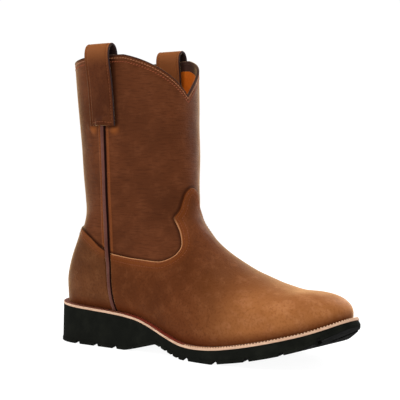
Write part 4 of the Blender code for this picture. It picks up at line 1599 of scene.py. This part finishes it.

# %% [markdown]
# The shaft is a grainy hide with fine wrinkles round the leg. It has a painted highlight on
# the turned ridges and where the strap's corners pull it, and a painted shadow beside the
# overlays and the strap, with some dark burnish by the vamp. The fields on the mesh say how
# near these are, so no mask has to be painted.

# %% Shaft finish
SHAFT_TONES = Tones(screen(61, 31, 16), screen(92, 50, 28), screen(110, 64, 39))
ROUND_THE_LEG = (0.4, 0.4, 3.0)
# painted highlight on the turned ridges beside the side seam
RIDGE_HIGHLIGHT = screen(144, 80, 40)
# painted highlight below the strap's corners, where the leather puckers
CORNER_HIGHLIGHT = screen(140, 78, 36)
# painted shadow beside the vamp, the counter and the strap, with some dark burnish by the vamp
PAINTED_SHADOW = screen(40, 17, 8)
ShadowBand = namedtuple("ShadowBand", "field low high share_low share_high")
SHADOW_BANDS = (
    ShadowBand("vamp_edge", -3.6, -0.3, 0.0, 0.65),
    ShadowBand("counter_edge", -2.5, -0.3, 0.0, 0.6),
    ShadowBand("strap", 0.0, 3.6, 0.75, 0.0),
)
made, tree, where, colour = leather_finish(
    "shaft_hide", SHAFT_TONES, SHAFT_GRAIN, ROUND_THE_LEG
)
seam = attribute(tree, "seam")
# paint a highlight along each turned ridge
for middle, width in ((BACK_RIDGE, 2.3), (FRONT_RIDGE, 2.0)):
    near = combine(tree, "ABSOLUTE", combine(tree, "SUBTRACT", seam, middle))
    colour = tint(tree, span(tree, near, 0.2, width, 0.55, 0.0), colour, RIDGE_HIGHLIGHT)
# paint a highlight below the strap's corners
pulled = span(tree, attribute(tree, "corner"), 1.0, 7.0, 0.6, 0.0)
colour = tint(tree, pulled, colour, CORNER_HIGHLIGHT)
# paint shadow beside the overlays' edges and the strap
for field, *band in SHADOW_BANDS:
    colour = tint(tree, span(tree, attribute(tree, field), *band), colour, PAINTED_SHADOW)
shaft_hide = show_colour(made, colour)
print("shaft finish:", len(tree.nodes), "nodes")

# %% [markdown]
# The vamp and the counter are smoother, and the vamp is more golden towards the toe, partly
# burnished and partly painted light from above. Near the edge the leather is lighter. Skiving
# bares the pale inside of the hide along the vamp's low edge; higher up and on the counter
# the edge is dark, partly dyed and partly painted shadow. A painted shade darkens the bottom.

# %% Vamp and counter finish
CutEdge = namedtuple("CutEdge", "low high")
NEAR_EDGE, NEAR_SHARE = (0.6, 12.0), 0.42
NEAR_COLOUR = screen(124, 64, 28)
# above this height the vamp's cut edge is dark: partly edge dye, partly painted shadow
DYED_AND_SHADED_FROM = (0.113, 0.122)
SKIVED_BELOW, SKIVED_WIDTH = (0.088, 0.1), 0.8
CUT_WIDTH, CUT_SHARE = (0.3, 0.65), 0.9
# painted shade over the lowest millimetres, near the welt
LOW_SHADE_RISE, LOW_SHADE_SHARE = (0.5, 11.5), 0.7
LOW_SHADE = screen(76, 30, 9)


def overlay_finish(name, field, tones, cut, toe_burnish_and_light=None):
    """Smooth oiled leather of an overlay, lighter near its edge, with a cut edge and painted shade low
    down.
    """
    made, tree, where, colour = leather_finish(name, tones, SMOOTH_GRAIN, toe_burnish_and_light=toe_burnish_and_light)
    edge = attribute(tree, field)
    near = span(tree, edge, *NEAR_EDGE, NEAR_SHARE, 0.0)
    colour = tint(tree, near, colour, NEAR_COLOUR)
    height = axis(tree, where, "Z")
    # cut edge: pale bared hide low on the vamp; higher up and on the counter dark, partly dye and
    # partly painted shadow
    rim = tint(tree, span(tree, height, *DYED_AND_SHADED_FROM), cut.low, cut.high)
    skived = span(tree, height, *SKIVED_BELOW, SKIVED_WIDTH, 0.0)
    inside = combine(tree, "SUBTRACT", edge, skived)
    colour = tint(tree, span(tree, inside, *CUT_WIDTH, CUT_SHARE, 0.0), colour, rim)
    # paint shade near the welt
    low_shade = span(tree, attribute(tree, "rise"), *LOW_SHADE_RISE, LOW_SHADE_SHARE, 0.0)
    colour = tint(tree, low_shade, colour, LOW_SHADE)
    print(name + ":", len(tree.nodes), "nodes")
    return show_colour(made, colour)


vamp_hide = overlay_finish(
    "vamp_hide", "vamp_edge",
    Tones(screen(66, 32, 13), screen(96, 51, 25), screen(117, 69, 40)),
    CutEdge(screen(170, 118, 80), screen(66, 30, 12)),
    Tones(screen(126, 73, 37), screen(162, 104, 59), screen(188, 130, 90)),
)
counter_hide = overlay_finish(
    "counter_hide", "counter_edge",
    Tones(screen(65, 36, 19), screen(96, 56, 31), screen(116, 74, 46)),
    CutEdge(screen(46, 22, 12), screen(52, 26, 14)),
)

# %% [markdown]
# The straps have a painted highlight towards the top, and are dark underneath, partly from
# dark lining and partly painted shade, and dyed dark along their cut edges. The piping is a
# purplish brown, with a painted shadow in its groove. Lining and facing are plain leathers.

# %% Strap, piping and lining finishes
def strap_finish(name, low, high):
    """Strap leather with a painted highlight between two heights, a dark underside that is partly
    painted shade, and dark cut edges.
    """
    tones = Tones(screen(56, 27, 14), screen(83, 44, 24), screen(103, 60, 35))
    made, tree, where, colour = leather_finish(name, tones, SMOOTH_GRAIN)
    # painted highlight towards the top of the strap
    lit_top = span(tree, axis(tree, where, "Z"), low, high, 0.0, 0.7)
    colour = tint(tree, lit_top, colour, screen(138, 82, 44))
    # dark underside: partly dark lining, partly painted shade
    under = span(tree, attribute(tree, "under"), 0.3, 0.7, 0.0, 0.95)
    colour = tint(tree, under, colour, screen(34, 25, 25))
    cut = span(tree, attribute(tree, "edge"), 0.35, 0.75, 0.95, 0.0)
    return show_colour(made, tint(tree, cut, colour, screen(44, 34, 36)))


outer_strap_hide = strap_finish("outer_strap_hide", 0.252, 0.272)
inner_strap_hide = strap_finish("inner_strap_hide", 0.21, 0.26)

tones = Tones(screen(72, 42, 36), screen(98, 62, 54), screen(108, 74, 66))
made, tree, where, colour = leather_finish("piping_hide", tones, Grain(620.0, 0.0003))
# painted shadow in the piping's groove
groove_shadow = span(tree, attribute(tree, "seam"), 1.35, 1.75)
piping_hide = show_colour(made, tint(tree, groove_shadow, colour, screen(26, 10, 8)))

tones = Tones(screen(154, 70, 12), screen(184, 90, 20), screen(198, 106, 30))
made, tree, where, colour = leather_finish("lining_hide", tones, Grain(700.0, 0.0002))
lining_hide = show_colour(made, colour)

tones = Tones(screen(44, 28, 24), screen(60, 40, 34), screen(72, 50, 42))
made, tree, where, colour = leather_finish("facing_hide", tones, Grain(560.0, 0.0003))
facing_hide = show_colour(made, colour)
print("leathers:", sorted(m.name for m in bpy.data.materials if m.name.endswith("_hide")))

# %% [markdown]
# The welt is undyed at its cut edge, where layers of fibre show as fine lines, and stained on
# top, redder along the shank. Stretched noise draws the fibres, which would be too thin to
# model. Thread is waxed and twisted, so a slanting wave runs over it.

# %% Welt and thread finishes
made, tree, shader, where = new_finish("welt_edge")
fibres = noise(tree, where, 500.0, 4.0, 0.6, (0.15, 0.15, 4.0))
colour = tint(tree, span(tree, fibres, 0.35, 0.65), screen(184, 144, 116), screen(212, 176, 148))
forward = axis(tree, where, "X")
shank = span(tree, forward, -0.07, -0.045)
shank = combine(tree, "MULTIPLY", shank, span(tree, forward, 0.0, 0.03, 1.0, 0.0))
stain = tint(tree, shank, screen(118, 60, 36), screen(136, 46, 24))
colour = tint(tree, span(tree, attribute(tree, "inset"), 0.25, 0.5), colour, stain)
shader.inputs["Roughness"].default_value = 0.65
relief(tree, shader, fibres, 0.4, 0.0003)
welt_edge = show_colour(made, colour)


def thread_finish(name, shade, light):
    """Waxed thread with its twist."""
    made, tree, shader, where = new_finish(name)
    twist = add(tree, "ShaderNodeTexWave", {
        "Vector": where, "Scale": 900.0, "Distortion": 2.0, "Detail": 1.0,
    }, bands_direction="DIAGONAL").outputs["Fac"]
    shader.inputs["Roughness"].default_value = 0.55
    shader.inputs["Specular IOR Level"].default_value = 0.15
    relief(tree, shader, twist, 0.5, 0.0002)
    return show_colour(made, tint(tree, twist, shade, light))


tan_thread = thread_finish("tan_thread", screen(140, 84, 52), screen(186, 128, 92))
red_thread = thread_finish("red_thread", screen(124, 58, 34), screen(160, 84, 54))
brown_thread = thread_finish("brown_thread", screen(92, 42, 18), screen(130, 68, 32))
pale_thread = thread_finish("pale_thread", screen(214, 168, 128), screen(240, 204, 168))
print("threads:", sorted(m.name for m in bpy.data.materials if m.name.endswith("_thread")))

# %% [markdown]
# Rubber is nearly black, dull, and very slightly rough, with a little dust. Its underside
# gets a painted shade, because the lit floor would make it look grey.

# %% Rubber finish
made, tree, shader, where = new_finish("sole_rubber")
dust = span(tree, noise(tree, where, 90.0, 5.0), 0.4, 0.75)
facing = axis(tree, add(tree, "ShaderNodeNewGeometry").outputs["Normal"], "Z")
colour = tint(tree, dust, screen(19, 20, 17), screen(26, 27, 23))
# painted shade on the faces that look down
colour = tint(tree, span(tree, facing, -0.5, -0.15, 1.0, 0.0), colour, screen(5, 5, 4))
shader.inputs["Specular IOR Level"].default_value = 0.01
tree.links.new(span(tree, dust, 0.0, 1.0, 0.7, 0.85), shader.inputs["Roughness"])
relief(tree, shader, noise(tree, where, 1400.0, 3.0), 0.3, 0.0002)
sole_rubber = show_colour(made, colour)
print("rubber:", len(tree.nodes), "nodes")

# %% [markdown]
# Every piece takes one finish. The insole is the only solid that stays in the picture, and
# it is lined like the shaft. Most rows are sewn with brown thread. The collar's two rows and
# the welt's have threads of their own.

# %% Give each piece its finish
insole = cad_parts["insole"]
row_threads = {
    "collar_stitches_upper": tan_thread,
    "collar_stitches_lower": red_thread,
    "welt_stitches": pale_thread,
}
finishes = (
    (shaft, shaft_hide),
    (overlays["vamp"], vamp_hide),
    (overlays["counter"], counter_hide),
    *((piece, piping_hide) for piece in piping),
    (straps[-1][0], outer_strap_hide),
    (straps[1][0], inner_strap_hide),
    (lining_pieces["lining_leather"], lining_hide),
    (lining_pieces["collar_facing"], facing_hide),
    (binding, facing_hide),
    (welt, welt_edge),
    (outsole, sole_rubber),
    (insole, lining_hide),
    *((row, row_threads.get(row.name, brown_thread)) for row in threads),
)
for piece, finish in finishes:
    piece.data.materials.clear()
    piece.data.materials.append(finish)
print("finishes:", len(finishes), "pieces")

# %% [markdown]
# The picture is taken in a white studio, on paper so pale that it melts into the wall. A
# single lamp would leave hard shadows, so four soft ones share the work: a wide one overhead,
# a key from the left, a weak fill in front, and one behind that gives the far edge a pale rim.

# %% Floor
FLOOR_REACH = 1.5
scene = bpy.context.scene
corners = [(-1, -1), (1, -1), (1, 1), (-1, 1)]
floor_mesh = bpy.data.meshes.new("studio_floor")
floor_mesh.from_pydata([(x * FLOOR_REACH, y * FLOOR_REACH, 0) for x, y in corners], [], [(0, 1, 2, 3)])
floor = bpy.data.objects.new("studio_floor", floor_mesh)
scene.collection.objects.link(floor)
made, tree, shader, where = new_finish("studio_paper")
paper = noise(tree, where, 300.0)
shader.inputs["Roughness"].default_value = 0.8
shader.inputs["Specular IOR Level"].default_value = 0.1
shader.inputs["Emission Color"].default_value = (1.0, 1.0, 1.0, 1.0)
shader.inputs["Emission Strength"].default_value = 0.94
show_colour(made, tint(tree, paper, screen(118, 118, 118), screen(124, 124, 124)))
floor_mesh.materials.append(made)
print("floor:", 2 * FLOOR_REACH, "m wide")

# %% Lights
CAMERA_AIM = Vector((0.0004, -0.0004, 0.1349))
SoftLight = namedtuple("SoftLight", "name place size power")
LIGHTS = (
    SoftLight("overhead", (0.15, 0.1, 1.35), 0.9, 14.0),
    SoftLight("left_key", (-0.9, -0.67, 0.75), 0.6, 6.5),
    SoftLight("front_fill", (0.6, -1.1, 0.35), 0.7, 4.5),
    SoftLight("right_rim", (0.1, 1.05, 0.5), 0.7, 11.0),
)
for light in LIGHTS:
    data = bpy.data.lights.new(light.name, "AREA")
    data.energy = light.power
    data.size = light.size
    lamp = bpy.data.objects.new(light.name, data)
    lamp.location = light.place
    lamp.rotation_euler = (CAMERA_AIM - lamp.location).to_track_quat("-Z", "Y").to_euler()
    scene.collection.objects.link(lamp)
world = bpy.data.worlds.new("studio")
scene.world = world
world.use_nodes = True
sky = world.node_tree
upward = axis(sky, add(sky, "ShaderNodeTexCoord").outputs["Generated"], "Z")
backdrop = sky.nodes["Background"]
backdrop.inputs["Color"].default_value = (1.0, 1.0, 1.0, 1.0)
sky.links.new(span(sky, upward, 0.15, 0.35, 1.03, 0.3), backdrop.inputs["Strength"])
print("lights:", [light.name for light in LIGHTS])

# %% [markdown]
# The camera stands where the photograph was taken from: low, in front of the outer side, and
# far enough away for a long lens. It was found by matching the outline of the boot.

# %% Camera
CAMERA_PLACE = Vector((0.634, -0.8265, 0.1731))
LENS = 104.99
SENSOR = 36.0
view = bpy.data.cameras.new("camera")
view.lens = LENS
view.sensor_width = SENSOR
camera = bpy.data.objects.new("camera", view)
camera.location = CAMERA_PLACE
camera.rotation_euler = (CAMERA_AIM - CAMERA_PLACE).to_track_quat("-Z", "Y").to_euler()
scene.collection.objects.link(camera)
scene.camera = camera
scene.view_settings.view_transform = "Standard"
print("camera:", round((CAMERA_AIM - CAMERA_PLACE).length, 3), "m away")
